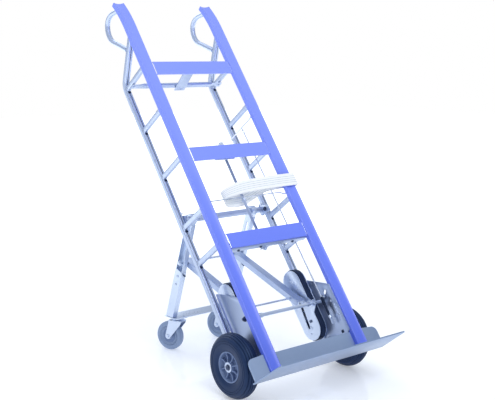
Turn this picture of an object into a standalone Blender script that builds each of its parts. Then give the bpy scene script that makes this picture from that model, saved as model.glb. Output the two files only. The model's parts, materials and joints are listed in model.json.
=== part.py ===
"""Four-wheel appliance hand truck with stair-glide belts, standing tilted back on its kick-back legs.

Lengths are in metres, +Z is up, +X is the truck's left-to-right and its nose plate faces -Y. Most pieces
are modelled in the truck's own axes, where the rails stand upright along Z and Y points to the back.
The empty "truck_axes" carries them and leans them back. Each moving group has an empty on its joint axis.
"""

import math

import bmesh
import bpy
from mathutils import Matrix, Vector

# Stance: the lean of the rails and where the truck's datum line sits over the floor.
LEAN = math.radians(36.9)
DATUM_HEIGHT = 0.127
CENTRE_SHIFT = 0.34187  # moves the object's middle to Y = 0

# Main wheels and axle, as (y, z) in the truck's axes.
AXLE = (0.0156, 0.0042)
AXLE_RADIUS = 0.0095
WHEEL_RADIUS = 0.121
WHEEL_INNER_X, WHEEL_OUTER_X = 0.2500, 0.3160
RIM_RADIUS = 0.058

# Front frame.
RAIL_X = 0.2213
RAIL_WIDTH, RAIL_DEPTH = 0.051, 0.018
RAIL_FRONT_Y = -0.125
RAIL_BOTTOM_Z, RAIL_BEND_Z, RAIL_TOP_Z = -0.0995, 1.43, 1.565
RAIL_BEND_RADIUS = 0.536
RAIL_BACK_Y = RAIL_FRONT_Y + RAIL_DEPTH
WEB_BACK_Y = RAIL_FRONT_Y + 0.0105
CROSSBARS = {"top": 1.224, "middle": 0.8145, "bottom": 0.432}
CROSSBAR_HEIGHT, CROSSBAR_HALF = 0.061, 0.1915
CROSSBAR_FRONT_Y, CROSSBAR_BACK_Y = -0.1235, -0.1175

# Rear frame.
CHANNEL_X = 0.2217
CHANNEL_SIZE, CHANNEL_WALL = 0.024, 0.0025
CHANNEL_Y = 0.067
STRUT_HEIGHTS = (1.2475, 1.043, 0.822, 0.590, 0.432)
STRUT_WIDTH, STRUT_HEIGHT = 0.016, 0.022

# Nose plate and side plates.
NOSE_TOP_Z, NOSE_THICK = -0.100, 0.005
NOSE_TIP_Y, NOSE_BACK_Y = -0.262, -0.1027
NOSE_HALF_BACK, NOSE_HALF_TIP = 0.327, 0.315
SHEET = 0.004
SIDE_PLATE_X, SIDE_PLATE_THICK = 0.19375, 0.0035

# Stair-glide units: two rollers between two plates, with an endless belt.
ROLLER_Y, ROLLER_TOP_Z, ROLLER_LOW_Z = 0.032, 0.270, 0.072
ROLLER_RADIUS, BELT_INNER, BELT_OUTER = 0.0465, 0.0472, 0.0525
GLIDE_PLATE_RADIUS = 0.050
GLIDE_INNER_X, GLIDE_OUTER_X, GLIDE_WALL = 0.150, 0.182, 0.003
PIN_RADIUS = 0.006
SLOT_TOP, SLOT_LOW, SLOT_RADIUS = (0.0297, 0.2094), (0.043, 0.079), 0.0066

# Kick-back legs: they turn on a shaft, and braces hold them.
SHAFT = (0.083, 0.634)
SHAFT_RADIUS, SHAFT_HALF = 0.0125, 0.2055
LEG_LEAN = math.radians(19.1)
LEG_INNER_X, LEG_WIDTH, LEG_DEPTH = 0.145, 0.020, 0.042
LEG_SPLICE, LEG_LENGTH = 0.235, 0.4574
KNEE_DOWN = 0.2007
BRACE_INNER_X, BRACE_WIDTH, BRACE_DEPTH = 0.108, 0.034, 0.023
BRACE_TAIL = 0.045
FOOT_ROD_RADIUS = 0.004

# Casters, in world axes.
CASTER_X, CASTER_Y = 0.128, 0.587
CASTER_RADIUS, CASTER_TRAIL = 0.061, 0.040
CASTER_TURN = {"left": math.radians(21), "right": math.radians(13)}
FOOT_BAR_Z = 0.1470

# Release gear: a lever under the top grip, a wire rope, and a latch shaft across the bottom.
LEVER_PIVOT = (0.056, 0.968)
LEVER_X, LEVER_TIP_Y, ROPE_TOP_Y = 0.185, -0.121, -0.040
LATCH = (-0.036, 0.150)
LATCH_RADIUS = 0.007
CRANK_TIP = (-0.066, 0.157)
ROPE_RADIUS, ROPE_LOW_X = 0.0028, 0.176

GAP = 0.0003
SIDES = {"left": -1, "right": 1}

# Finishes as (red, green, blue), roughness, metallic.
BLUE = ((0.13, 0.18, 0.85), 0.35, 0.1)
SILVER = ((0.62, 0.68, 0.80), 0.35, 0.9)
BRIGHT = ((0.74, 0.80, 0.90), 0.25, 1.0)
STEEL = ((0.50, 0.56, 0.70), 0.40, 0.9)
RUBBER = ((0.020, 0.028, 0.060), 0.75, 0.0)
GREY_RUBBER = ((0.25, 0.31, 0.45), 0.65, 0.0)
HUB_GREY = ((0.16, 0.20, 0.30), 0.45, 0.3)
WEBBING = ((0.80, 0.86, 0.88), 0.85, 0.0)
BLACK = ((0.015, 0.015, 0.030), 0.5, 0.0)


def clear_scene():
    for item in list(bpy.data.objects):
        bpy.data.objects.remove(item, do_unlink=True)


def empty(name, location, turn=(0, 0, 0), parent=None):
    axes = bpy.data.objects.new(name, None)
    axes.location, axes.rotation_euler, axes.parent = location, turn, parent
    bpy.context.scene.collection.objects.link(axes)
    return axes


def finish_material(name, finish):
    colour, roughness, metallic = finish
    material = bpy.data.materials.new(name + "_finish")
    material.use_nodes = True
    shader = material.node_tree.nodes["Principled BSDF"]
    shader.inputs["Base Color"].default_value = (*colour, 1)
    shader.inputs["Roughness"].default_value = roughness
    shader.inputs["Metallic"].default_value = metallic
    return material


def add(name, bm, parent, finish=None):
    """Makes an object of the mesh. Without a finish it is a helper for a Boolean, and stays hidden."""
    bmesh.ops.recalc_face_normals(bm, faces=bm.faces)
    mesh = bpy.data.meshes.new(name)
    bm.to_mesh(mesh)
    bm.free()
    mesh.shade_smooth()
    mesh.set_sharp_from_angle(angle=math.radians(32))
    item = bpy.data.objects.new(name, mesh)
    item.parent = parent
    bpy.context.scene.collection.objects.link(item)
    if finish:
        mesh.materials.append(finish_material(name, finish))
    else:
        item.hide_render = True
        item.display_type = "WIRE"
    return item


def combine(item, operation, *helpers):
    """Joins, cuts or intersects the object with each helper mesh, in the object's own axes."""
    for number, bm in enumerate(helpers):
        helper = add(f"{item.name}_{operation.lower()}_{number}", bm, item.parent)
        modifier = item.modifiers.new(helper.name, "BOOLEAN")
        modifier.operation, modifier.object = operation, helper
    return item


def rings_to_mesh(rings, closed=False):
    """Skins rings of points that all have the same number of points; open ends get flat caps."""
    bm = bmesh.new()
    rows = [[bm.verts.new(point) for point in ring] for ring in rings]
    pairs = list(zip(rows, rows[1:] + rows[:1])) if closed else list(zip(rows, rows[1:]))
    for low, high in pairs:
        for i in range(len(low)):
            j = (i + 1) % len(low)
            bm.faces.new((low[i], low[j], high[j], high[i]))
    if not closed:
        bm.faces.new(rows[0])
        bm.faces.new(rows[-1])
    return bm


def prism(outline, axis, low, high):
    """Extrudes an outline along X, Y or Z. Its points are the two other coordinates, in X, Y, Z order."""
    place = {
        "X": lambda a, b, c: (c, a, b),
        "Y": lambda a, b, c: (a, c, b),
        "Z": lambda a, b, c: (a, b, c),
    }[axis]
    return rings_to_mesh([[place(a, b, end) for a, b in outline] for end in (low, high)])


def box(low, high):
    (x0, y0, z0), (x1, y1, z1) = low, high
    return prism([(x0, y0), (x1, y0), (x1, y1), (x0, y1)], "Z", z0, z1)


def turned(profile, centre=(0, 0), steps=24, axis="X", closed=False):
    """Turns (along, radius) points about a line parallel to X or Z. A closed profile has a bore."""
    rings = []
    for along, radius in profile:
        ring = []
        for step in range(steps):
            angle = 2 * math.pi * step / steps
            a = centre[0] + radius * math.sin(angle)
            b = centre[1] - radius * math.cos(angle)
            ring.append((along, a, b) if axis == "X" else (a, b, along))
        rings.append(ring)
    return rings_to_mesh(rings, closed)


def rod(x0, x1, radius, centre, steps=16, axis="X"):
    return turned([(x0, radius), (x1, radius)], centre, steps, axis)


def arc(centre, radius, start, end, steps):
    """Points on an arc, with angles in degrees from the first coordinate towards the second."""
    angles = [math.radians(start + (end - start) * i / steps) for i in range(steps + 1)]
    return [(centre[0] + radius * math.cos(a), centre[1] + radius * math.sin(a)) for a in angles]


def stadium(first, second, radius, steps=12):
    """The outline around two centres, as a belt runs around two pulleys."""
    heading = math.degrees(math.atan2(second[1] - first[1], second[0] - first[0]))
    near = arc(first, radius, heading + 90, heading + 270, steps)
    far = arc(second, radius, heading - 90, heading + 90, steps)
    return near + far


def rounded(points, radius, steps=4):
    """A 3-D polyline with each inner corner replaced by a curve that starts and ends at the radius."""
    points = [Vector(point) for point in points]
    path = [points[0]]
    for before, corner, after in zip(points, points[1:], points[2:]):
        reach_in = min(radius, (before - corner).length * 0.49)
        reach_out = min(radius, (after - corner).length * 0.49)
        start = corner + (before - corner).normalized() * reach_in
        end = corner + (after - corner).normalized() * reach_out
        for step in range(steps + 1):
            t = step / steps
            path.append(start * (1 - t) ** 2 + corner * 2 * t * (1 - t) + end * t**2)
    path.append(points[-1])
    return path


def smooth_path(points, steps=3):
    """A Catmull-Rom curve through the points."""
    points = [Vector(point) for point in points]
    ends = [points[0] * 2 - points[1], *points, points[-1] * 2 - points[-2]]
    path = []
    for a, b, c, d in zip(ends, ends[1:], ends[2:], ends[3:]):
        for step in range(steps):
            t = step / steps
            path.append(
                0.5 * (2 * b + (c - a) * t + (2 * a - 5 * b + 4 * c - d) * t**2
                       + (3 * b - a - 3 * c + d) * t**3)
            )
    return path + [points[-1]]


def sweep(profile, path, side=(1, 0, 0)):
    """Sweeps (a, b) points along a path: a runs along the side direction, b across it and the path."""
    path = [Vector(point) for point in path]
    side = Vector(side)
    rings = []
    for i, point in enumerate(path):
        ahead = path[min(i + 1, len(path) - 1)] - path[max(i - 1, 0)]
        if 0 < i < len(path) - 1:
            ahead = (path[i + 1] - point).normalized() + (point - path[i - 1]).normalized()
        ahead.normalize()
        across = ahead.cross(side).normalized()
        along_side = across.cross(ahead)
        side = along_side
        rings.append([point + along_side * a + across * b for a, b in profile])
    return rings_to_mesh(rings)


def tube(path, radius, steps=10, side=(1, 0, 0)):
    circle = arc((0, 0), radius, 0, 360 * (steps - 1) / steps, steps - 1)
    return sweep(circle, path, side)


def u_profile(width, depth, wall):
    """A channel section around (0, 0) with its open side towards -b."""
    half, deep = width / 2, depth / 2
    inner = half - wall
    return [
        (-half, -deep), (-half, deep), (half, deep), (half, -deep),
        (inner, -deep), (inner, deep - wall), (-inner, deep - wall), (-inner, -deep),
    ]


def world_of(y, z):
    """The world (y, z) of a point given in the truck's axes."""
    return (
        y * math.cos(LEAN) + z * math.sin(LEAN) - CENTRE_SHIFT,
        DATUM_HEIGHT - y * math.sin(LEAN) + z * math.cos(LEAN),
    )


# --- front frame ---------------------------------------------------------------------------------


def rail_profile():
    """A shallow trough seen from above: raised lips at both edges and a hollow face between them."""
    half, dip, wall = RAIL_WIDTH / 2, 0.0075, 0.0027
    crest = half - 0.002
    outside = [(-half, RAIL_DEPTH), (-half, 0.002)]
    for step in range(9):
        a = crest * (step / 4 - 1)
        outside.append((a, dip * (1 - (a / crest) ** 2)))
    outside += [(half, 0.002), (half, RAIL_DEPTH)]
    inner = half - wall
    inside = [(inner, RAIL_DEPTH), (inner, 0.0055), (0.012, 0.0085), (0, 0.0105)]
    inside += [(-0.012, 0.0085), (-inner, 0.0055), (-inner, RAIL_DEPTH)]
    return outside + inside


def rail_path(x):
    """Straight up to the bend, then curving back to the top end."""
    steps = 6
    heights = [RAIL_BEND_Z + (RAIL_TOP_Z - RAIL_BEND_Z) * i / steps for i in range(steps + 1)]
    curve = [(x, RAIL_FRONT_Y + (z - RAIL_BEND_Z) ** 2 / (2 * RAIL_BEND_RADIUS), z) for z in heights]
    return [(x, RAIL_FRONT_Y, RAIL_BOTTOM_Z)] + curve


def make_rails(truck):
    profile = rail_profile()
    for side, sign in SIDES.items():
        add(f"rail_{side}", sweep(profile, rail_path(sign * RAIL_X)), truck, BLUE)


def crossbar_outline(middle):
    low, high = middle - CROSSBAR_HEIGHT / 2, middle + CROSSBAR_HEIGHT / 2
    front, back, wall, corner = CROSSBAR_FRONT_Y, CROSSBAR_BACK_Y, 0.0028, 0.0015
    return [
        (back, low), (front + corner, low), (front, low + corner), (front, high - corner),
        (front + corner, high), (back, high), (back, high - wall),
        (front + wall, high - wall), (front + wall, low + wall), (back, low + wall),
    ]


def make_crossbars(truck):
    for name, middle in CROSSBARS.items():
        outline = crossbar_outline(middle)
        bar = prism(outline, "X", -CROSSBAR_HALF, CROSSBAR_HALF)
        add(f"crossbar_{name}", bar, truck, BLUE)


ROD_X, ROD_Y = -0.006, -0.0830


def make_centre_gear(truck):
    """The rod between the lower crossbars, with an angle piece behind each crossbar to hold it."""
    wall, front, back = 0.003, CROSSBAR_BACK_Y + GAP, -0.070
    low = 0.3960
    angle = [(front, low), (-0.0925, low), (-0.0925, low + wall), (front + wall, low + wall),
             (front + wall, low + 0.030), (front, low + 0.030)]
    lower = add("crossbar_angle", prism(angle, "X", -0.190, 0.190), truck, SILVER)
    combine(lower, "UNION", box((ROD_X - 0.016, -0.0945, low), (ROD_X + 0.016, back, low + wall)))
    combine(lower, "DIFFERENCE", rod(0.38, 0.42, 0.0046, (ROD_X, ROD_Y), axis="Z"))

    low, shelf = 0.7805, 0.8120
    angle = [(front, low), (front + wall, low), (front + wall, shelf), (back, shelf),
             (back, shelf + wall), (front + wall, shelf + wall), (front + wall, 0.8430), (front, 0.8430)]
    upper = add("strap_bracket", prism(angle, "X", -0.088, 0.010), truck, STEEL)
    ratchet = prism([(front + 0.001, 0.826), (-0.098, 0.830), (-0.098, 0.850),
                     (-0.104, 0.8620), (front + 0.001, 0.8620)], "X", -0.030, -0.014)
    combine(upper, "UNION", ratchet)
    combine(upper, "DIFFERENCE", rod(shelf - 0.01, shelf + 0.01, 0.0046, (ROD_X, ROD_Y), axis="Z"))

    stud, body, nut = 0.004, 0.006, 0.0078
    stations = [(0.3860, stud), (0.3885, stud), (0.3886, nut), (0.3953, nut), (0.3954, stud),
                (0.3998, stud), (0.3999, body), (0.6040, body), (0.6042, 0.0088), (0.6140, 0.0088),
                (0.6142, body), (0.8115, body), (0.8116, stud), (0.8155, stud), (0.8156, nut),
                (0.8220, nut), (0.8221, stud), (0.8250, stud)]
    add("centre_rod", turned(stations, (ROD_X, ROD_Y), 10, "Z"), truck, SILVER)


# The strap's coil in plan and height, as (x, y, bottom z, top z) on its outside, from its right end
# forwards: across the front to the drooping left end, then back along the rear and round the rail.
COIL = [
    (0.2620, -0.1120, 0.6300, 0.6830), (0.2610, -0.1270, 0.6285, 0.6820), (0.2500, -0.1335, 0.6275, 0.6815),
    (0.1500, -0.1330, 0.6270, 0.6800), (0.0600, -0.1290, 0.6260, 0.6785), (-0.0200, -0.1210, 0.6250, 0.6750),
    (-0.0620, -0.1080, 0.6240, 0.6690), (-0.0900, -0.0930, 0.6235, 0.6620), (-0.0960, -0.0760, 0.6120, 0.6570),
    (-0.0800, -0.0600, 0.6000, 0.6510), (-0.0400, -0.0540, 0.5960, 0.6480), (0.0100, -0.0570, 0.5990, 0.6500),
    (0.0600, -0.0650, 0.6160, 0.6620), (0.1200, -0.0750, 0.6360, 0.6820), (0.1800, -0.0860, 0.6380, 0.6850),
    (0.2400, -0.0970, 0.6340, 0.6850), (0.2560, -0.1010, 0.6320, 0.6840),
]


def coil_ring(inset, level, margin=0.0):
    """The coil's outline moved inwards, at its bottom (level 0) or its top (level 1)."""
    ring = []
    for i, (x, y, bottom, top) in enumerate(COIL):
        before, after = COIL[i - 1], COIL[(i + 1) % len(COIL)]
        along = Vector((after[0] - before[0], after[1] - before[1])).normalized()
        z = top + margin if level else bottom - margin
        ring.append((x + along.y * inset, y - along.x * inset, z))
    return ring


def make_strap(truck):
    """The webbing strap, wound flat around the right rail and the centre rod, and its keeper wire."""
    coil = add("strap_coil", rings_to_mesh([coil_ring(0, 0), coil_ring(0, 1)]), truck, WEBBING)
    combine(coil, "DIFFERENCE", rings_to_mesh([coil_ring(0.006, 0, 0.02), coil_ring(0.006, 1, 0.02)]))

    wire_y, deep = -0.0925, -0.1125
    corners = [(-RAIL_X, deep, 0.6175), (-RAIL_X, -0.099, 0.6175), (-0.205, wire_y, 0.6175),
               (0.178, wire_y, 0.6195), (0.199, wire_y, 0.6110), (RAIL_X, -0.099, 0.6105),
               (RAIL_X, deep, 0.6105)]
    wire = tube(rounded(corners, 0.008, 2), 0.0025, 8, (0, 0, 1))
    add("strap_wire", wire, truck, BRIGHT)


# --- rear frame ----------------------------------------------------------------------------------


def rear_channel_path(x):
    """Up the back of the truck, then forward and up into the rail."""
    corners = [(x, CHANNEL_Y, -0.020), (x, CHANNEL_Y, 1.266), (x, -0.1062, 1.4057)]
    return rounded(corners, 0.030, 4)


def make_rear_frame(truck):
    section = u_profile(CHANNEL_SIZE, CHANNEL_SIZE, CHANNEL_WALL)
    for side, sign in SIDES.items():
        path = rear_channel_path(sign * CHANNEL_X)
        add(f"rear_channel_{side}", sweep(section, path), truck, SILVER)
        for number, height in enumerate(STRUT_HEIGHTS, 1):
            make_strut(truck, f"strut_{side}_{number}", sign * CHANNEL_X, height)
        loop = [(-0.0970, 1.5385), (-0.064, 1.5515), (-0.033, 1.563), (-0.005, 1.563), (0.018, 1.551),
                (0.033, 1.527), (0.037, 1.497), (0.028, 1.468), (0.003, 1.434), (-0.0405, 1.3752)]
        path = smooth_path([(sign * CHANNEL_X, y, z) for y, z in loop], 2)
        add(f"handle_loop_{side}", tube(path, 0.0108, 10), truck, SILVER)


def make_strut(truck, name, x, height):
    """A flat-sided tube from inside the rail to the web of the rear channel."""
    w, h, c = STRUT_WIDTH / 2, STRUT_HEIGHT / 2, 0.003
    outline = [(x - w + c, height - h), (x + w - c, height - h), (x + w, height - h + c),
               (x + w, height + h - c), (x + w - c, height + h), (x - w + c, height + h),
               (x - w, height + h - c), (x - w, height - h + c)]
    back = CHANNEL_Y + CHANNEL_SIZE / 2 - CHANNEL_WALL - GAP
    if height == max(STRUT_HEIGHTS):
        back -= 0.011
    add(name, prism(outline, "Y", WEB_BACK_Y + 0.0007, back), truck, SILVER)


def make_top_stretcher(truck):
    """The tube behind the top crossbar, flattened under the top struts, and the strap that stays it."""
    y, z, wide, flat = 0.017, 1.234, 0.0150, 0.0032
    stations = [(0.229, wide, flat, -0.0016), (0.196, wide, flat, -0.0016), (0.170, 0.011, 0.011, 0)]
    rings = []
    for x, a, b, drop in [(-x, a, b, c) for x, a, b, c in stations] + stations[::-1]:
        angles = [math.tau * step / 12 for step in range(12)]
        rings.append([(x, y + a * math.cos(t), z + drop + b * math.sin(t)) for t in angles])
    add("top_stretcher", rings_to_mesh(rings), truck, SILVER)

    tilt, middle, thick, end_y = 0.174, 0.009, 0.004, 0.031
    front_y = CROSSBAR_BACK_Y + GAP
    under = z - 0.0114 * math.hypot(1, tilt)
    lift_front, lift_end = (y - front_y) * tilt, (y - end_y) * tilt
    outline = [(front_y, under + lift_front), (end_y, under + lift_end),
               (end_y, under + lift_end - thick), (front_y, under + lift_front - thick)]
    add("centre_brace", prism(outline, "X", middle - 0.026, middle + 0.026), truck, SILVER)


# --- nose and side plates ------------------------------------------------------------------------


def make_nose_plate(truck):
    """A toe plate folded from its back plate; the back plate steps forward outside the rails."""
    step_in, step_out, outer = 0.2472, 0.2512, 0.325
    back, front = NOSE_BACK_Y, NOSE_BACK_Y - SHEET
    flap_back, flap_front = -0.1145, -0.1145 - SHEET
    half = [(step_in, front), (step_in, flap_front), (outer, flap_front), (outer, flap_back),
            (step_out, flap_back), (step_out, back)]
    outline = half + [(-x, y) for x, y in reversed(half)]
    plate = add("nose_plate", prism(outline, "Z", NOSE_TOP_Z - NOSE_THICK + 0.001, -0.014), truck, SILVER)
    corner = 0.024
    window = [(-outer - 0.01, NOSE_TOP_Z - 0.02), (outer + 0.01, NOSE_TOP_Z - 0.02)]
    window += [(outer + 0.01, -0.055)]
    window += arc((outer - corner, -0.018 - corner), corner, 0, 90, 5)
    window += [(0.25, -0.014), (-0.25, -0.014)]
    window += arc((-outer + corner, -0.018 - corner), corner, 90, 180, 5)
    window += [(-outer - 0.01, -0.055)]
    combine(plate, "INTERSECT", prism(window, "Y", -0.2, 0.0))
    toe = [(-NOSE_HALF_BACK, back), (NOSE_HALF_BACK, back), (NOSE_HALF_TIP, NOSE_TIP_Y + 0.006),
           (NOSE_HALF_TIP - 0.006, NOSE_TIP_Y), (-NOSE_HALF_TIP + 0.006, NOSE_TIP_Y),
           (-NOSE_HALF_TIP, NOSE_TIP_Y + 0.006)]
    combine(plate, "UNION", prism(toe, "Z", NOSE_TOP_Z - NOSE_THICK, NOSE_TOP_Z))


def side_plate_section(sign):
    """The bent sheet seen from above: flat beside the belt unit, then rolled out to the rear channel."""
    x, half, bend, flange_y = SIDE_PLATE_X, SIDE_PLATE_THICK / 2, 0.012, 0.0529
    centre = (x + bend, flange_y - bend)
    near = [(x + half, -0.13)] + arc(centre, bend - half, 180, 90, 5) + [(0.2088, flange_y - half)]
    far = [(0.2088, flange_y + half)] + arc(centre, bend + half, 90, 180, 5) + [(x - half, -0.13)]
    return [(sign * a, b) for a, b in near + far]


def make_side_plates(truck):
    outline = [(-0.1175, 0.188), (-0.1175, -0.008), (-0.1020, -0.012), (-0.1020, -0.055),
               (-0.085, -0.066), (-0.020, -0.066), (0.030, -0.045), (0.0700, -0.018), (0.0700, 0.3062)]
    for side, sign in SIDES.items():
        sheet = prism(side_plate_section(sign), "Z", -0.08, 0.32)
        plate = add(f"side_plate_{side}", sheet, truck, SILVER)
        reach = sorted((sign * 0.17, sign * 0.25))
        combine(plate, "INTERSECT", prism(outline, "X", *reach))
        combine(
            plate, "DIFFERENCE",
            rod(*reach, AXLE_RADIUS + 0.001, AXLE, 16),
            prism(stadium((-0.081, 0.174), (-0.074, 0.168), 0.0060, 5), "X", *reach),
            prism([(-0.086, -0.005), (-0.072, -0.005), (-0.072, 0.007), (-0.086, 0.007)], "X", *reach),
        )


# --- stair-glide units ---------------------------------------------------------------------------


def make_glide_units(truck, rollers):
    high, low = (ROLLER_Y, ROLLER_TOP_Z), (ROLLER_Y, ROLLER_LOW_Z)
    inner_face, outer_face = GLIDE_INNER_X + GLIDE_WALL, GLIDE_OUTER_X
    for side, sign in SIDES.items():
        def span(a, b):
            return sorted((sign * a, sign * b))

        cheek = stadium(low, high, GLIDE_PLATE_RADIUS, 9)
        frame = add(f"glide_frame_{side}", prism(cheek, "X", *span(GLIDE_INNER_X, inner_face)), truck, BRIGHT)
        ear = [(-0.008, 0.200), (-0.030, 0.166), *arc(LATCH, 0.0145, 115, 245, 5), (-0.008, 0.110)]
        spacers = [high, low, (0.062, 0.150)]
        combine(
            frame, "UNION",
            prism(ear, "X", *span(GLIDE_INNER_X, inner_face)),
            prism(cheek, "X", *span(outer_face, outer_face + GLIDE_WALL)),
            *[rod(*span(inner_face - 0.001, outer_face + 0.001), PIN_RADIUS, at, 14) for at in spacers],
        )
        through = span(GLIDE_INNER_X - 0.002, inner_face + 0.001)
        combine(
            frame, "DIFFERENCE",
            prism(stadium(SLOT_LOW, SLOT_TOP, SLOT_RADIUS, 6), "X", *through),
            rod(*through, LATCH_RADIUS + 0.0007, LATCH, 14),
        )
        belt_edges = span(GLIDE_INNER_X + 0.0055, GLIDE_OUTER_X - 0.0025)
        belt = add(f"glide_belt_{side}", prism(stadium(low, high, BELT_OUTER), "X", *belt_edges), truck, RUBBER)
        combine(belt, "DIFFERENCE", prism(stadium(low, high, BELT_INNER), "X", *span(0.14, 0.19)))
        for level, at in (("upper", high), ("lower", low)):
            make_roller(rollers[level, side], f"roller_{level}_{side}", sign)


def make_roller(parent, name, sign):
    """A grooved idler wheel on its pin, around the parent's X axis."""
    left, right = GLIDE_INNER_X + 0.0045, GLIDE_OUTER_X - 0.0015
    bore, hub, web = PIN_RADIUS + 0.0004, 0.014, 0.004
    middle = (left + right) / 2
    profile = [(left, bore), (right, bore), (right, hub), (middle + web, hub + 0.002),
               (middle + web, 0.036), (right - 0.001, 0.039), (right - 0.001, ROLLER_RADIUS),
               (left + 0.001, ROLLER_RADIUS), (left + 0.001, 0.039), (middle - web, 0.036),
               (middle - web, hub + 0.002), (left, hub)]
    add(name, turned([(sign * x, r) for x, r in profile], steps=18, closed=True), parent, HUB_GREY)


# --- wheels --------------------------------------------------------------------------------------


def make_axle(truck):
    nut, thread = 0.0125, WHEEL_OUTER_X + 0.0045
    inside = WHEEL_OUTER_X - 0.0045
    half = [(inside, AXLE_RADIUS), (inside + 0.0001, nut), (thread - 0.003, nut), (thread, nut - 0.003)]
    stations = [(-x, r) for x, r in reversed(half)] + half
    add("axle", turned(stations, AXLE, 12), truck, STEEL)


def make_wheel(parent, side, sign):
    """A moulded tyre on a dished hub, about the parent's X axis."""
    inner, outer = WHEEL_INNER_X, WHEEL_OUTER_X
    rim, radius, seat = RIM_RADIUS + GAP, WHEEL_RADIUS, 0.0055
    tyre = [(inner + seat, rim), (inner + 0.001, 0.076), (inner, 0.100), (inner + 0.005, 0.118),
            (inner + 0.015, radius - 0.001), ((inner + outer) / 2, radius),
            (outer - 0.015, radius - 0.001), (outer - 0.005, 0.118), (outer, 0.100),
            (outer - 0.001, 0.076), (outer - seat, rim)]
    add(f"tyre_{side}", turned([(sign * x, r) for x, r in tyre], steps=32, closed=True), parent, RUBBER)
    bore = AXLE_RADIUS + 0.0004
    hub = [(inner + 0.003, bore), (outer - 0.005, bore), (outer - 0.005, 0.020), (outer - 0.020, 0.023),
           (outer - 0.024, 0.048), (outer - 0.006, 0.051), (outer - seat, RIM_RADIUS),
           (inner + seat, RIM_RADIUS), (inner + 0.006, 0.051), (inner + 0.034, 0.048),
           (inner + 0.034, 0.024), (inner + 0.003, 0.020)]
    add(f"hub_{side}", turned([(sign * x, r) for x, r in hub], steps=20, closed=True), parent, HUB_GREY)


# --- legs and braces -----------------------------------------------------------------------------


def make_leg_shaft(truck):
    add("leg_shaft", rod(-SHAFT_HALF, SHAFT_HALF, SHAFT_RADIUS, SHAFT, 16), truck, SILVER)
    outline = [(0.030, 0.603), (0.088, 0.606), (0.0975, 0.616), (0.1000, 0.640), (0.0930, 0.6500),
               (0.0760, 0.6520), (0.030, 0.630)]
    inner = SHAFT_HALF + GAP
    outer = CHANNEL_X - CHANNEL_SIZE / 2 - GAP
    for side, sign in SIDES.items():
        ends = sorted((sign * inner, sign * outer))
        add(f"shaft_bracket_{side}", prism(outline, "X", *ends), truck, STEEL)


def make_legs(hinge):
    """Each leg is a channel, open outwards, that a closed foot tube continues down to the caster plate."""
    deep, wall = LEG_DEPTH / 2, 0.0025
    for side, sign in SIDES.items():
        def across(a, b):
            return sorted((sign * a, sign * b))

        x0, x1 = LEG_INNER_X, LEG_INNER_X + LEG_WIDTH
        section = [(x0, -deep), (x0, deep), (x1, deep), (x1, deep - wall), (x0 + wall, deep - wall),
                   (x0 + wall, wall - deep), (x1, wall - deep), (x1, -deep)]
        section = [(sign * x, y) for x, y in section]
        leg = add(f"leg_{side}", prism(section, "Z", -LEG_SPLICE - 0.004, -0.016), hinge, SILVER)
        out = deep + 0.0012
        level_cut = out * math.tan(LEG_LEAN)
        sleeve = [(out, -LEG_SPLICE), (-out, -LEG_SPLICE), (-out, -LEG_LENGTH + level_cut),
                  (out, -LEG_LENGTH - level_cut)]
        combine(
            leg, "UNION",
            prism(sleeve, "X", *across(x0 - 0.0012, x1 + 0.0012)),
            rod(*across(x0 - 0.0015, x1 + 0.002), 0.0225, (0, 0), 16),
        )
        combine(
            leg, "DIFFERENCE",
            rod(*across(0.13, 0.18), SHAFT_RADIUS + 0.0006, (0, 0), 16),
            rod(*across(0.13, 0.18), 0.0055, (0, -KNEE_DOWN), 12),
            prism(stadium((0, -0.165), (0, -0.055), 0.0055, 5), "X", *across(0.13, 0.155)),
        )
    reach = LEG_INNER_X + LEG_WIDTH + 0.004
    knee = (0, -KNEE_DOWN)
    add("knee_rod", rod(-reach, reach, 0.005, knee, 12), hinge, BRIGHT)


def make_foot_bar(level):
    """The flat bar across the two feet that the casters bolt to, in world axes."""
    front, depth, thick, corner = 0.552 - CENTRE_SHIFT, 0.078, 0.004, 0.010
    outline = [(-0.168, front + depth), (-0.168, front + corner), (-0.168 + corner, front),
               (0.168 - corner, front), (0.168, front + corner), (0.168, front + depth)]
    add("foot_bar", prism(outline, "Z", FOOT_BAR_Z, FOOT_BAR_Z + thick), level, BRIGHT)


def brace_vector():
    """The world (y, z) of the knee and of the foot rod, and the direction from one to the other."""
    shaft_y, shaft_z = world_of(*SHAFT)
    knee = (shaft_y + KNEE_DOWN * math.sin(LEG_LEAN), shaft_z - KNEE_DOWN * math.cos(LEG_LEAN))
    foot = world_of(*SLOT_TOP)
    length = math.hypot(foot[0] - knee[0], foot[1] - knee[1])
    return knee, foot, length


def make_braces(hinge, length):
    """Channels from the knee to the glide units, in axes whose Z runs from the foot rod up to the knee."""
    section = u_profile(BRACE_WIDTH, BRACE_DEPTH, 0.0025)
    middle = BRACE_INNER_X + BRACE_WIDTH / 2
    for side, sign in SIDES.items():
        channel = [(sign * middle + a, -b) for a, b in section]
        brace = add(f"brace_{side}", prism(channel, "Z", -length - BRACE_TAIL, 0.014), hinge, STEEL)
        reach = sorted((sign * (middle - 0.03), sign * (middle + 0.03)))
        combine(
            brace, "DIFFERENCE",
            rod(*reach, 0.0056, (0, 0), 12),
            rod(*reach, FOOT_ROD_RADIUS + 0.0004, (0, -length), 12),
        )
    half = GLIDE_INNER_X + GLIDE_WALL + 0.001
    add("foot_rod", rod(-half, half, FOOT_ROD_RADIUS, (0, -length), 12), hinge, BRIGHT)


# --- casters -------------------------------------------------------------------------------------


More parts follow.
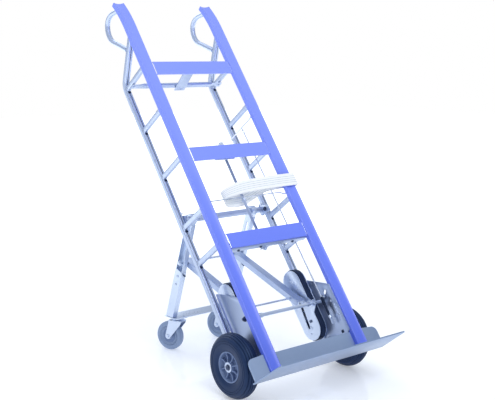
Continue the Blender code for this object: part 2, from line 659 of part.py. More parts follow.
def make_caster(swivel, spin, side):
    """A swivel fork with its kingpin, around the swivel's Z axis, and a wheel on the spin's X axis."""
    axle_z, trail = CASTER_RADIUS, CASTER_TRAIL
    plate_z, gap, wall = 0.1300, 0.0185, 0.0025
    arm = [(-0.027, plate_z + 0.001), (0.036, plate_z + 0.001), (0.0375, 0.119),
           *arc((trail, axle_z), 0.012, 10, -150, 5), (-0.023, 0.118)]
    fork = add(f"caster_fork_{side}", prism(arm, "X", gap, gap + wall), swivel, BRIGHT)
    top = [(-gap - wall, -0.029), (gap + wall, -0.029), (gap + wall, 0.036), (-gap - wall, 0.036)]
    combine(
        fork, "UNION",
        prism(arm, "X", -gap - wall, -gap),
        prism(top, "Z", plate_z, plate_z + wall),
        turned([(plate_z + 0.002, 0.026), (plate_z + 0.0055, 0.026), (plate_z + 0.007, 0.022)], (0, 0), 16, "Z"),
        rod(plate_z + 0.006, FOOT_BAR_Z - 0.0006, 0.010, (0, 0), 12, "Z"),
        rod(-gap - wall - 0.004, gap + wall + 0.004, 0.004, (trail, axle_z), 10),
    )
    half = [(0.0165, 0.0046), (0.0165, 0.011), (0.010, 0.013), (0.009, 0.039), (0.0135, 0.044),
            (0.015, 0.054), (0.011, 0.0600), (0.004, CASTER_RADIUS)]
    profile = half + [(-x, r) for x, r in reversed(half)]
    add(f"caster_wheel_{side}", turned(profile, steps=24, closed=True), spin, GREY_RUBBER)


# --- release gear --------------------------------------------------------------------------------


def make_release(lever, rope, latch):
    """In each empty's own axes, which stay parallel to the truck's."""
    pivot_y, pivot_z = LEVER_PIVOT
    side_x = CHANNEL_X - CHANNEL_SIZE / 2 - 0.0008
    corners = [(side_x, 0, 0), (LEVER_X, 0, 0), (LEVER_X, LEVER_TIP_Y + 0.012 - pivot_y, 0),
               (LEVER_X - 0.004, LEVER_TIP_Y - pivot_y, 0.004)]
    bar = tube(rounded(corners, 0.008, 3), 0.0032, 8, (0, 0, 1))
    add("release_lever", bar, lever, BRIGHT)

    top = Vector((LEVER_X, ROPE_TOP_Y, pivot_z - 0.0042))
    low = Vector((ROPE_LOW_X, CRANK_TIP[0], CRANK_TIP[1]))
    heading = (low - top).normalized()
    add("release_rope", tube([top, low - heading * 0.0015], ROPE_RADIUS, 8), rope, BRIGHT)
    stations = [(0.0, 0.0040), (0.004, 0.0065), (0.018, 0.0060), (0.030, 0.0045), (0.078, 0.0045),
                (0.0782, 0.0054), (0.088, 0.0054), (0.0882, 0.0034), (0.116, 0.0034)]
    circle = [(math.cos(math.tau * i / 10), math.sin(math.tau * i / 10)) for i in range(10)]
    down = Vector((0, 0.02, -1)).normalized()
    rings = [[low + down * s + Vector((r * a, r * b, 0)) for a, b in circle] for s, r in stations]
    add("rope_boot", rings_to_mesh(rings), rope, BLACK)

    end = 0.1890
    collar, ear = 0.0115, GLIDE_INNER_X
    half = [(0.112, LATCH_RADIUS), (0.1122, 0.0095), (0.124, 0.0095), (0.1242, LATCH_RADIUS),
            (ear - 0.0120, LATCH_RADIUS), (ear - 0.0118, collar), (ear - 0.0012, collar),
            (ear - 0.0010, LATCH_RADIUS)]
    stations = [(-0.163, LATCH_RADIUS)] + [(-x, r) for x, r in reversed(half)] + half
    shaft = add("latch_shaft", turned(stations + [(end, LATCH_RADIUS)], steps=12), latch, STEEL)
    tip = (CRANK_TIP[0] - LATCH[0], CRANK_TIP[1] - LATCH[1])
    combine(shaft, "UNION", prism(stadium(tip, (0, 0), 0.0085, 5), "X", 0.1845, 0.1885))


def main():
    clear_scene()
    truck = empty("truck_axes", (0, -CENTRE_SHIFT, DATUM_HEIGHT), (-LEAN, 0, 0))
    level = empty("level_axes", (0, 0, 0))
    make_rails(truck)
    make_crossbars(truck)
    make_centre_gear(truck)
    make_strap(truck)
    make_rear_frame(truck)
    make_top_stretcher(truck)
    make_nose_plate(truck)
    make_side_plates(truck)
    make_axle(truck)
    make_leg_shaft(truck)

    rollers = {}
    for side in SIDES:
        for name, z in (("upper", ROLLER_TOP_Z), ("lower", ROLLER_LOW_Z)):
            rollers[name, side] = empty(f"{name}_roller_axis_{side}", (0, ROLLER_Y, z), parent=truck)
    make_glide_units(truck, rollers)

    axle_y, axle_z = world_of(*AXLE)
    for side, sign in SIDES.items():
        make_wheel(empty(f"wheel_axis_{side}", (0, axle_y, axle_z), parent=level), side, sign)
        turn = CASTER_TURN[side]
        swivel = empty(f"swivel_axis_{side}", (sign * CASTER_X, CASTER_Y - CENTRE_SHIFT, 0), (0, 0, turn), level)
        spin = empty(f"caster_axis_{side}", (0, CASTER_TRAIL, CASTER_RADIUS), parent=swivel)
        make_caster(swivel, spin, side)

    shaft_y, shaft_z = world_of(*SHAFT)
    make_legs(empty("leg_axis", (0, shaft_y, shaft_z), (LEG_LEAN, 0, 0), level))
    make_foot_bar(level)
    knee, foot, length = brace_vector()
    slope = math.atan2(foot[0] - knee[0], knee[1] - foot[1])
    make_braces(empty("knee_axis", (0, *knee), (slope, 0, 0), level), length)

    lever = empty("lever_axis", (0, *LEVER_PIVOT), parent=truck)
    rope = empty("rope_axes", (0, 0, 0), parent=truck)
    latch = empty("latch_axis", (0, *LATCH), parent=truck)
    make_release(lever, rope, latch)


main()
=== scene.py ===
"""Looks for the four-wheel appliance hand truck: detailed pieces, materials, floor, light and camera.

Lengths are in metres. Pieces of the frame are built in the truck's own axes, where the rails stand
upright along Z and Y points to the back, and TRUCK leans them back as the CAD model does.
"""

import json
import math

import bmesh
import bpy
from mathutils import Matrix, Vector


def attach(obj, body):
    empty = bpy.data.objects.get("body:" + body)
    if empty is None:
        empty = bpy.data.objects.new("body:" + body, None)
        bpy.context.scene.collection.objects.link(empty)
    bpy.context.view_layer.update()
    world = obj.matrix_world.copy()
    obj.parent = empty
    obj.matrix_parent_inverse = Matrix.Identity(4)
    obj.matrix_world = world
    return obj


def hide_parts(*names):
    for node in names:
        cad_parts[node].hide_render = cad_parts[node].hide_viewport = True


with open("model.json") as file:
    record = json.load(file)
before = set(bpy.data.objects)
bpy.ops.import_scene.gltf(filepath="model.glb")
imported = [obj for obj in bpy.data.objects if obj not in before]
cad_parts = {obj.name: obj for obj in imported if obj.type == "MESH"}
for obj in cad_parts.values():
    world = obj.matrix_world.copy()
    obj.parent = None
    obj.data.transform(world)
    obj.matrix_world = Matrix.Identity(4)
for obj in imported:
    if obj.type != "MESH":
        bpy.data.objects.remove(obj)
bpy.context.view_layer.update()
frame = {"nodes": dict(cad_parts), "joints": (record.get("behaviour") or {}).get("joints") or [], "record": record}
NODES, RECORD = frame["nodes"], frame["record"]
BODY_OF = {n: b for b, ns in RECORD["behaviour"]["bodies"].items() for n in ns}
SLOT_OF = {s["node"]: s["material_slot"] for s in RECORD["subparts"]}
JOINTS = {j["name"]: j for j in frame["joints"]}

# The truck's own axes: how far they lean, and where their origin stands in the world.
LEAN = math.radians(36.9)
SHIFT, DATUM = 0.34187, 0.127
TRUCK = Matrix.Translation((0, -SHIFT, DATUM)) @ Matrix.Rotation(-LEAN, 4, "X")
UPRIGHT = Matrix.Identity(4)

# Centre lines, as (y, z) in the truck's axes unless the name says X, Y or height.
AXLE = (0.0156, 0.0042)
LATCH = (-0.036, 0.150)
ROLLERS = {"upper": (0.032, 0.270), "lower": (0.032, 0.072)}
RAIL_X, CHANNEL_X = 0.2213, 0.2217
CHANNEL_Y = 0.067
STRUT_HEIGHTS = (1.2475, 1.043, 0.822, 0.590, 0.432)
LEG_LEAN = math.radians(19.1)
SIDES = {"left": -1, "right": 1}
TYRE_INNER, TYRE_OUTER, TYRE_RADIUS, RIM_RADIUS = 0.2500, 0.3160, 0.121, 0.0583


# --- materials ---


def new_material(name, metallic=0.0, **sockets):
    """A Principled material. Uniform values go straight on the shader's sockets."""
    material = bpy.data.materials.new(name)
    material.use_nodes = True
    tree = material.node_tree
    shader = tree.nodes["Principled BSDF"]
    shader.inputs["Metallic"].default_value = metallic
    for key, value in sockets.items():
        shader.inputs[key.replace("_", " ")].default_value = value
    return material, tree, shader


def node(tree, kind, links=(), **settings):
    made = tree.nodes.new("ShaderNode" + kind)
    for key, value in settings.items():
        setattr(made, key, value)
    for socket, value in links:
        if isinstance(value, bpy.types.NodeSocket):
            tree.links.new(value, made.inputs[socket])
        else:
            made.inputs[socket].default_value = value
    return made


def ramp(tree, factor, stops):
    made = node(tree, "ValToRGB", [("Fac", factor)])
    elements = made.color_ramp.elements
    while len(elements) < len(stops):
        elements.new(0.5)
    for element, (position, colour) in zip(elements, stops):
        element.position = position
        element.color = colour if len(colour) == 4 else (*colour, 1)
    return made.outputs["Color"]


def grey(value):
    return (value, value, value)


def coordinates(tree, scale=(1, 1, 1)):
    source = node(tree, "TexCoord").outputs["Object"]
    return node(tree, "Mapping", [("Vector", source), ("Scale", scale)]).outputs[0]


def noise(tree, vector, scale, detail, roughness=0.5):
    links = [("Vector", vector), ("Scale", scale), ("Detail", detail), ("Roughness", roughness)]
    return node(tree, "TexNoise", links).outputs["Fac"]


def bump(tree, shader, height, strength, distance):
    made = node(tree, "Bump", [("Height", height), ("Strength", strength), ("Distance", distance)])
    tree.links.new(made.outputs["Normal"], shader.inputs["Normal"])


def blend_colours(tree, factor, first, second, mode="MIX"):
    made = node(tree, "Mix", data_type="RGBA", blend_type=mode)
    factor_socket, first_socket, second_socket, colour_out = 0, 6, 7, 2
    for index, value in ((factor_socket, factor), (first_socket, first), (second_socket, second)):
        if isinstance(value, bpy.types.NodeSocket):
            tree.links.new(value, made.inputs[index])
        else:
            made.inputs[index].default_value = value if index == factor_socket else (*value, 1)
    return made.outputs[colour_out]


def remapped(tree, value, before, after):
    """The value carried from one range to another, with its ends held."""
    links = [("Value", value), ("From Min", before[0]), ("From Max", before[1])]
    return node(tree, "MapRange", links + [("To Min", after[0]), ("To Max", after[1])]).outputs[0]


def painted(name, stops):
    """Satin enamel with painted light, darker at the foot and paler towards the handles, with faint orange peel,
    rub marks and duller patches.
    """
    material, tree, shader = new_material(name, Coat_Weight=0.35, Coat_Roughness=0.22)
    where = coordinates(tree)
    cloud = noise(tree, where, 3.5, 3)
    height = node(tree, "SeparateXYZ", [("Vector", where)]).outputs["Z"]
    waver, rail_height = 0.16, 1.5
    shifted = node(tree, "Math", [(0, cloud), (1, waver), (2, height)], operation="MULTIPLY_ADD").outputs[0]
    # Painted light: the colour climbs the ramp with height, painted shade at the foot and a paler, lit look at the
    # grips.
    tone = ramp(tree, remapped(tree, shifted, (0.0, rail_height), (0, 1)), stops)
    rub = noise(tree, coordinates(tree, (60, 60, 2.5)), 6, 6, 0.7)
    marks = ramp(tree, rub, [(0.68, grey(0)), (0.80, grey(0.22))])
    pale = tuple(0.7 * c + 0.25 for c in stops[-1][1])
    tree.links.new(blend_colours(tree, marks, tone, pale), shader.inputs["Base Color"])
    tree.links.new(remapped(tree, rub, (0.3, 0.8), (0.30, 0.44)), shader.inputs["Roughness"])
    bump(tree, shader, noise(tree, where, 520, 2), 0.05, 0.0003)
    return material


def metal(name, dark, light, rough, grain, metallic=0.9, fine=0.05):
    """Drawn or rolled metal: fine grain along one axis and faint oxide clouds, duller where darker."""
    material, tree, shader = new_material(name, metallic)
    drawn = noise(tree, coordinates(tree, grain), 90, 4, 0.6)
    cloud = noise(tree, coordinates(tree), 7, 4, 0.55)
    drawn_share, cloud_share = 0.35, 0.65
    shares = node(tree, "Math", [(0, drawn), (1, drawn_share)], operation="MULTIPLY").outputs[0]
    sum_links = [(0, cloud), (1, cloud_share), (2, shares)]
    both = node(tree, "Math", sum_links, operation="MULTIPLY_ADD").outputs[0]
    tree.links.new(ramp(tree, both, [(0.30, dark), (0.68, light)]), shader.inputs["Base Color"])
    smooth, dull = rough
    tree.links.new(remapped(tree, both, (0.3, 0.7), (dull, smooth)), shader.inputs["Roughness"])
    bump(tree, shader, drawn, fine, 0.0002)
    return material


def moulded(name, dark, light, rough, scale=380, strength=0.25, metallic=0.0, sheen=(1, 1, 1)):
    """Rubber or plastic from a mould: a fine grain and patchy colour. The sheen tints its highlights."""
    material, tree, shader = new_material(name, metallic, Specular_Tint=(*sheen, 1))
    where = coordinates(tree)
    cloud = noise(tree, where, 14, 6, 0.65)
    tree.links.new(ramp(tree, cloud, [(0.3, dark), (0.7, light)]), shader.inputs["Base Color"])
    tree.links.new(remapped(tree, cloud, (0.3, 0.7), rough), shader.inputs["Roughness"])
    bump(tree, shader, noise(tree, where, scale, 3), strength, 0.0005)
    return material


def webbing(name):
    """Woven polyester: threads along and across, dark guide lines along it, and a soft sheen."""
    material, tree, shader = new_material(name, 0.0, Sheen_Weight=0.35, Sheen_Roughness=0.5)
    uv = node(tree, "TexCoord").outputs["UV"]
    parts = node(tree, "SeparateXYZ", [("Vector", uv)])
    along, across = parts.outputs["X"], parts.outputs["Y"]

    def arithmetic(kind, first, second=0.0):
        return node(tree, "Math", [(0, first), (1, second)], operation=kind).outputs[0]

    def wave(value, pitch):
        return arithmetic("SINE", arithmetic("MULTIPLY", value, math.tau / pitch))

    warp, weft = wave(across, 0.0017), wave(along, 0.0026)
    twill = wave(arithmetic("ADD", along, arithmetic("MULTIPLY", across, 1.6)), 0.0034)
    weave = arithmetic("ADD", arithmetic("MULTIPLY", warp, weft), arithmetic("MULTIPLY", twill, 0.5))
    cloud = noise(tree, coordinates(tree), 30, 5)
    cloth = ramp(tree, cloud, [(0.3, (0.97, 1.0, 1.0)), (0.75, (1.0, 1.0, 1.0))])
    lit = node(tree, "Math", [(0, weave), (1, 0.25), (2, 0.5)], operation="MULTIPLY_ADD").outputs[0]
    shade = ramp(tree, lit, [(0.0, grey(0.92)), (0.6, grey(1))])
    cloth = blend_colours(tree, 0.35, cloth, shade, "MULTIPLY")
    line_half_width, lines = 0.00085, None
    for centre in (0.012, 0.0205, 0.029, 0.0375):
        off = arithmetic("ABSOLUTE", arithmetic("SUBTRACT", across, centre))
        line = arithmetic("LESS_THAN", off, line_half_width)
        lines = line if lines is None else arithmetic("MAXIMUM", lines, line)
    line_colour, line_strength = (0.42, 0.52, 0.60), 0.72
    colour = blend_colours(tree, arithmetic("MULTIPLY", lines, line_strength), cloth, line_colour)
    tree.links.new(colour, shader.inputs["Base Color"])
    tree.links.new(remapped(tree, cloud, (0, 1), (0.72, 0.92)), shader.inputs["Roughness"])
    height = arithmetic("SUBTRACT", arithmetic("MULTIPLY", weave, 0.5), arithmetic("MULTIPLY", lines, 0.6))
    bump(tree, shader, height, 0.55, 0.0006)
    return material


def stranded(name):
    """Wire rope: helical strands from a slanted wave, with a painted highlight on their tops and painted shade
    between them.
    """
    material, tree, shader = new_material(name, 0.9)
    uv = node(tree, "TexCoord").outputs["UV"]
    slanted = node(tree, "Mapping", [("Vector", uv), ("Rotation", (0, 0, 0.7))]).outputs[0]
    wave_links = [("Vector", slanted), ("Scale", 330.0), ("Distortion", 0.3)]
    strands = node(tree, "TexWave", wave_links).outputs["Fac"]
    # Painted light: a painted highlight on each strand's top and painted shade in the grooves between them.
    tone = ramp(tree, strands, [(0.1, (0.42, 0.49, 0.63)), (0.6, (0.88, 0.93, 1.0))])
    tree.links.new(tone, shader.inputs["Base Color"])
    cloud = noise(tree, coordinates(tree), 60, 4)
    tree.links.new(remapped(tree, cloud, (0, 1), (0.28, 0.48)), shader.inputs["Roughness"])
    bump(tree, shader, strands, 0.6, 0.0004)
    return material


# How much finer the grain is across each axis than along the drawn one.
ALONG_Z, ALONG_X, EVEN, SOFT = (10, 10, 0.4), (0.4, 10, 10), (5, 5, 5), (0.3, 0.3, 0.3)
# Painted light: the stops run from the painted shade of the foot to the lit look of the grips.
ENAMEL_WITH_PAINTED_LIGHT = [(0.0, (0.115, 0.185, 0.87)), (0.32, (0.150, 0.225, 0.90)), (0.58, (0.215, 0.295, 0.95)),
          (0.95, (0.245, 0.325, 0.98))]
NAVY = (0.42, 0.62, 1.0)
MATERIALS = {
    "blue_paint": painted("blue_enamel", ENAMEL_WITH_PAINTED_LIGHT),
    "silver_aluminium": metal(
        "drawn_aluminium", (0.48, 0.56, 0.73), (0.58, 0.66, 0.83), (0.34, 0.42), ALONG_Z, 0.8, 0.01
    ),
    "tube_aluminium": metal(
        "tube_aluminium", (0.50, 0.58, 0.75), (0.60, 0.68, 0.84), (0.34, 0.41), SOFT, 0.8, 0.004
    ),
    "leg_aluminium": metal(
        "leg_aluminium", (0.60, 0.69, 0.85), (0.70, 0.78, 0.93), (0.30, 0.38), ALONG_Z, 0.85, 0.01
    ),
    "brace_steel": metal(
        "brace_steel", (0.40, 0.48, 0.66), (0.47, 0.55, 0.74), (0.28, 0.36), EVEN, 0.9, 0.008
    ),
    "sheet_aluminium": metal(
        "sheet_aluminium", (0.42, 0.50, 0.68), (0.48, 0.56, 0.75), (0.32, 0.40), ALONG_X
    ),
    # Painted shade: the nose sheet's colours are set dark for the shade that falls on the nose plate under the
    # truck and between the wheels.
    "nose_sheet_painted_shade": metal("nose_sheet_painted_shade", (0.28, 0.37, 0.54), (0.34, 0.43, 0.61), (0.30, 0.38), ALONG_X),
    "zinc_steel": metal(
        "zinc_plated_steel", (0.60, 0.68, 0.83), (0.68, 0.76, 0.91), (0.26, 0.34), EVEN, 0.9, 0.008
    ),
    "bright_steel": metal(
        "bright_steel", (0.66, 0.73, 0.85), (0.84, 0.89, 0.97), (0.14, 0.24), ALONG_X, 1.0
    ),
    "dark_steel": metal("dark_steel", (0.06, 0.08, 0.14), (0.14, 0.17, 0.26), (0.28, 0.42), EVEN, 0.8),
    "black_plastic": moulded(
        "black_plastic", (0.005, 0.009, 0.026), (0.012, 0.018, 0.046), (0.42, 0.55), sheen=NAVY
    ),
    "tyre_rubber": moulded(
        "tyre_rubber", (0.008, 0.020, 0.066), (0.013, 0.029, 0.088), (0.40, 0.52), 420, 0.10, sheen=NAVY
    ),
    "belt_rubber": moulded(
        "belt_rubber", (0.008, 0.014, 0.042), (0.014, 0.024, 0.062), (0.40, 0.55), 520, 0.12, sheen=NAVY
    ),
    "grey_hub": moulded("grey_hub", (0.14, 0.20, 0.36), (0.18, 0.25, 0.43), (0.32, 0.45), 300, 0.08, 0.2),
    "caster_grey": moulded("caster_grey", (0.24, 0.32, 0.49), (0.29, 0.38, 0.56), (0.42, 0.55), 360, 0.08),
    "strap_fabric": webbing("strap_webbing"),
    "wire_rope": stranded("wire_rope"),
}
SHEET_NODES = ("side_plate", "crossbar_angle")


# --- mesh helpers ---


def build(name, bm, matrix, bevel=0.0, segments=2, angle=35, smooth=True):
    """An object of the mesh, with its sharp edges rounded when a bevel width is given."""
    bmesh.ops.recalc_face_normals(bm, faces=bm.faces)
    mesh = bpy.data.meshes.new(name)
    bm.to_mesh(mesh)
    bm.free()
    item = bpy.data.objects.new(name, mesh)
    bpy.context.scene.collection.objects.link(item)
    item.matrix_world = matrix
    if smooth:
        mesh.shade_smooth()
        if not bevel:
            mesh.set_sharp_from_angle(angle=math.radians(angle))
    if bevel:
        modifier = item.modifiers.new("edges", "BEVEL")
        modifier.width, modifier.segments = bevel, segments
        modifier.limit_method, modifier.angle_limit = "ANGLE", math.radians(angle)
        modifier.harden_normals = True
    return item


def dress(item, body, material, *nodes, slot=None):
    """Gives the piece its material and CAD body, and hides the CAD nodes that it stands for. The slot is not used.
    """
    item.data.materials.clear()
    item.data.materials.append(MATERIALS[material])
    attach(item, body)
    if nodes:
        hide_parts(*nodes)
    return item


def skin(rings, closed=False):
    """A surface through the rings, which meets itself when closed and is capped when not."""
    bm = bmesh.new()
    rows = [[bm.verts.new(point) for point in ring] for ring in rings]
    pairs = list(zip(rows, rows[1:]))
    if closed:
        pairs.append((rows[-1], rows[0]))
    for low, high in pairs:
        for i in range(len(low)):
            j = (i + 1) % len(low)
            bm.faces.new((low[i], low[j], high[j], high[i]))
    if not closed:
        bm.faces.new(rows[0])
        bm.faces.new(rows[-1])
    return bm


def prism(outline, axis, low, high):
    """The outline carried along an axis from low to high."""
    place = {
        "X": lambda a, b, c: (c, a, b),
        "Y": lambda a, b, c: (a, c, b),
        "Z": lambda a, b, c: (a, b, c),
    }[axis]
    return skin([[place(a, b, end) for a, b in outline] for end in (low, high)])


def turned(profile, centre=(0, 0), steps=48, axis="X", closed=False):
    """The (along, radius) profile turned about an axis through the centre."""
    rings = []
    for along, radius in profile:
        ring = []
        for step in range(steps):
            angle = math.tau * step / steps
            a = centre[0] + radius * math.sin(angle)
            b = centre[1] - radius * math.cos(angle)
            ring.append((along, a, b) if axis == "X" else (a, b, along))
        rings.append(ring)
    return skin(rings, closed)


def merged(*meshes):
    """Several shells in one mesh."""
    whole = bmesh.new()
    for bm in meshes:
        copy = bpy.data.meshes.new("part")
        bm.to_mesh(copy)
        bm.free()
        whole.from_mesh(copy)
        bpy.data.meshes.remove(copy)
    return whole


def arc(centre, radius, start, end, steps):
    """Points on a circle between two angles in degrees."""
    angles = [math.radians(start + (end - start) * i / steps) for i in range(steps + 1)]
    return [(centre[0] + radius * math.cos(a), centre[1] + radius * math.sin(a)) for a in angles]


def stadium(first, second, radius, steps):
    """The outline of a slot round two centres."""
    heading = math.degrees(math.atan2(second[1] - first[1], second[0] - first[0]))
    near = arc(first, radius, heading + 90, heading + 270, steps)
    return near + arc(second, radius, heading - 90, heading + 90, steps)


def round_box(width, height, corner, steps=4):
    """A rectangle's outline about (0, 0) with round corners."""
    a, b = width / 2 - corner, height / 2 - corner
    outline = []
    for centre, start in (((a, b), 0), ((-a, b), 90), ((-a, -b), 180), ((a, -b), 270)):
        outline += arc(centre, corner, start, start + 90, steps)
    return outline


def filleted(points, radius, steps):
    """A polyline with its inner corners curved."""
    points = [Vector(point) for point in points]
    path = [points[0]]
    for before, corner, after in zip(points, points[1:], points[2:]):
        reach_in = min(radius, (before - corner).length * 0.49)
        reach_out = min(radius, (after - corner).length * 0.49)
        start = corner + (before - corner).normalized() * reach_in
        end = corner + (after - corner).normalized() * reach_out
        for step in range(steps + 1):
            t = step / steps
            path.append(start * (1 - t) ** 2 + corner * 2 * t * (1 - t) + end * t**2)
    path.append(points[-1])
    return path


def smooth_path(points, steps, closed=False):
    """A curve through the points, with this many steps between each two."""
    points = [Vector(point) for point in points]
    if closed:
        ends = [points[-1], *points, points[0], points[1]]
    else:
        ends = [points[0] * 2 - points[1], *points, points[-1] * 2 - points[-2]]
    path = []
    for a, b, c, d in zip(ends, ends[1:], ends[2:], ends[3:]):
        for step in range(steps):
            t = step / steps
            path.append(
                0.5 * (2 * b + (c - a) * t + (2 * a - 5 * b + 4 * c - d) * t**2
                       + (3 * b - a - 3 * c + d) * t**3)
            )
    return path if closed else path + [points[-1]]


def sweep(profile, path, side=(1, 0, 0)):
    """The profile carried along the path, its first axis kept near the side direction."""
    path = [Vector(point) for point in path]
    side = Vector(side)
    rings = []
    for i, point in enumerate(path):
        ahead = path[min(i + 1, len(path) - 1)] - path[max(i - 1, 0)]
        if 0 < i < len(path) - 1:
            ahead = (path[i + 1] - point).normalized() + (point - path[i - 1]).normalized()
        ahead.normalize()
        across = ahead.cross(side).normalized()
        side = across.cross(ahead)
        rings.append([point + side * a + across * b for a, b in profile])
    return skin(rings)


def tube(path, radius, steps, side=(1, 0, 0)):
    circle = arc((0, 0), radius, 0, 360 * (steps - 1) / steps, steps - 1)
    return sweep(circle, path, side)


def mirrored(half):
    """A profile and its mirror image, as one closed loop."""
    return half + [(-x, r) for x, r in reversed(half)]


def spokes(outline, thick, count, offset=0.0):
    """Flat ribs of an (x, z) outline, spread round the X axis."""
    shells = []
    for number in range(count):
        rib = skin([[(x, y, z) for x, z in outline] for y in (-thick, thick)])
        rib.transform(Matrix.Rotation(math.tau * (number + offset) / count, 4, "X"))
        shells.append(rib)
    return shells


def refined(name, material=None, bevel=0.0, segments=2):
    """A clean copy of a CAD node, its flat faces whole again and its edges rounded when a bevel width is given, in
    its place.
    """
    weld_distance, flat_within, sharp_over = 2e-6, math.radians(1.5), 28
    bm = bmesh.new()
    bm.from_mesh(NODES[name].data)
    bmesh.ops.remove_doubles(bm, verts=bm.verts, dist=weld_distance)
    bmesh.ops.dissolve_limit(bm, angle_limit=flat_within, verts=bm.verts, edges=bm.edges)
    item = build(name + "_detail", bm, UPRIGHT, bevel, segments, sharp_over)
    chosen = material or ("sheet_aluminium" if name.startswith(SHEET_NODES) else SLOT_OF[name])
    return dress(item, BODY_OF[name], chosen, name)


# --- fasteners ---


def axis_matrix(point, direction):
    """A frame at the point whose Z axis points along the direction."""
    z = Vector(direction).normalized()
    x = Vector((1, 0, 0)) if abs(z.x) < 0.9 else Vector((0, 1, 0))
    y = z.cross(x).normalized()
    x = y.cross(z)
    return Matrix.Translation(point) @ Matrix((x, y, z)).transposed().to_4x4()


def hex_bolt(size, height, washer=1.45, stub=0.0):
    """A washer, a chamfered hexagon head or nut, and the end of a stud, standing on Z = 0."""
    rim = size * washer
    disc = turned([(0, rim), (0.0012, rim), (0.0014, rim - 0.0004)], steps=28, axis="Z")
    base = 0.0013
    rings = []
    for z, scale, cut in ((base, 1.0, 0.97), (base + height * 0.8, 1.0, 0.97), (base + height, 0.86, 0.86)):
        ring = []
        for step in range(24):
            angle = math.tau * step / 24
            flat = math.cos(math.pi / 6) / math.cos((angle % (math.pi / 3)) - math.pi / 6)
            reach = size * min(flat * scale, cut if scale == 1.0 else scale)
            ring.append((reach * math.cos(angle), reach * math.sin(angle), z))
        rings.append(ring)
    shells = [disc, skin(rings)]
    if stub:
        r = size * 0.5
        top = base + height + stub
        shells.append(turned([(base, r), (top - 0.0008, r), (top, r - 0.0008)], steps=18, axis="Z"))
    return merged(*shells)


def button_head(radius, height):
    """A domed screw head with a small recess."""
    profile = [(0, radius)]
    for step in range(1, 7):
        angle = math.radians(15 * step)
        profile.append((height * math.sin(angle), max(radius * math.cos(angle), radius * 0.36)))
    profile += [(height * 0.45, radius * 0.34)]
    return turned(profile, steps=24, axis="Z")


def fasten(name, bm, point, direction, body="frame", material="zinc_steel", base=TRUCK):
    """Puts a fastener at a point of the base axes, its foot facing away from the direction."""
    item = build(name, bm, base @ axis_matrix(point, direction))
    return dress(item, body, material, slot="zinc_steel" if material == "dark_steel" else material)


# --- frame ---


def rail_profile():
    """A shallow channel whose front is dished between two crests."""
    half, depth, wall = 0.0255, 0.018, 0.0027
    crest, dip = half - 0.0030, 0.0055
    outside = [(-half, depth), (-half, 0.0030), (-half + 0.0003, 0.0016), (-half + 0.0010, 0.0006)]
    for step in range(17):
        a = crest * (step / 8 - 1)
        outside.append((a, dip * (1 - (a / crest) ** 2) ** 0.9 if abs(a) < crest else 0.0))
    outside += [(half - 0.0010, 0.0006), (half - 0.0003, 0.0016), (half, 0.0030), (half, depth)]
    inner = half - wall
    inside = [(inner, depth), (inner, 0.0056), (0.016, 0.0078), (0.008, 0.0100), (0, 0.0106)]
    return outside + inside + [(-a, b) for a, b in inside[-2::-1]]


def make_rails():
    """Straight to the bend, then curved back to the grips."""
    bottom, bend, top, front, radius = -0.0995, 1.43, 1.565, -0.125, 0.536
    for side, sign in SIDES.items():
        x = sign * RAIL_X
        path = [(x, front, z) for z in (bottom, 0.4, 0.9, 1.3)]
        for i in range(17):
            z = bend + (top - bend) * i / 16
            path.append((x, front + (z - bend) ** 2 / (2 * radius), z))
        item = build(f"rail_shell_{side}", sweep(rail_profile(), path), TRUCK, angle=42)
        dress(item, "frame", "blue_paint", f"rail_{side}")


def make_crossbars():
    half_height, half_width = 0.0305, 0.1915
    front, back, wall = -0.1235, -0.1175, 0.0028
    for name, middle in (("top", 1.224), ("middle", 0.8145), ("bottom", 0.432)):
        low, high = middle - half_height, middle + half_height
        outline = [(back, low), (front, low), (front, high), (back, high), (back, high - wall),
                   (front + wall, high - wall), (front + wall, low + wall), (back, low + wall)]
        section = prism(outline, "X", -half_width, half_width)
        bar = build(f"crossbar_{name}_bar", section, TRUCK, 0.0009, 3)
        dress(bar, "frame", "blue_paint", f"crossbar_{name}")
        for side, sign in SIDES.items():
            x = sign * (half_width + 0.0002)
            bead = [(x, front + 0.0010, low + 0.002), (x, front + 0.0004, middle),
                    (x, front + 0.0010, high - 0.002)]
            seam = build(f"crossbar_{name}_end_{side}", tube(bead, 0.0008, 8), TRUCK)
            dress(seam, "frame", "bright_steel")


def channel_outline(size, corner):
    """A drawn channel with round corners and turned-in lips, so its front shows a narrow groove."""
    half, lip, slot, wall = size / 2, 0.0032, 0.0016, 0.0022
    centre = half - corner
    outer = [(-slot, -half)] + arc((-centre, -centre), corner, 270, 180, 5)
    outer += arc((-centre, centre), corner, 180, 90, 5)
    outer += arc((centre, centre), corner, 90, 0, 5)
    outer += arc((centre, -centre), corner, 0, -90, 5) + [(slot, -half)]
    near, deep = corner - wall, half - wall
    inner = [(slot, lip - half), (deep - near, lip - half)]
    inner += [(deep, lip - half + near)] + arc((deep - near, deep - near), near, 0, 90, 3)
    inner += arc((near - deep, deep - near), near, 90, 180, 3)
    inner += [(-deep, lip - half + near), (near - deep, lip - half), (-slot, lip - half)]
    return outer + inner


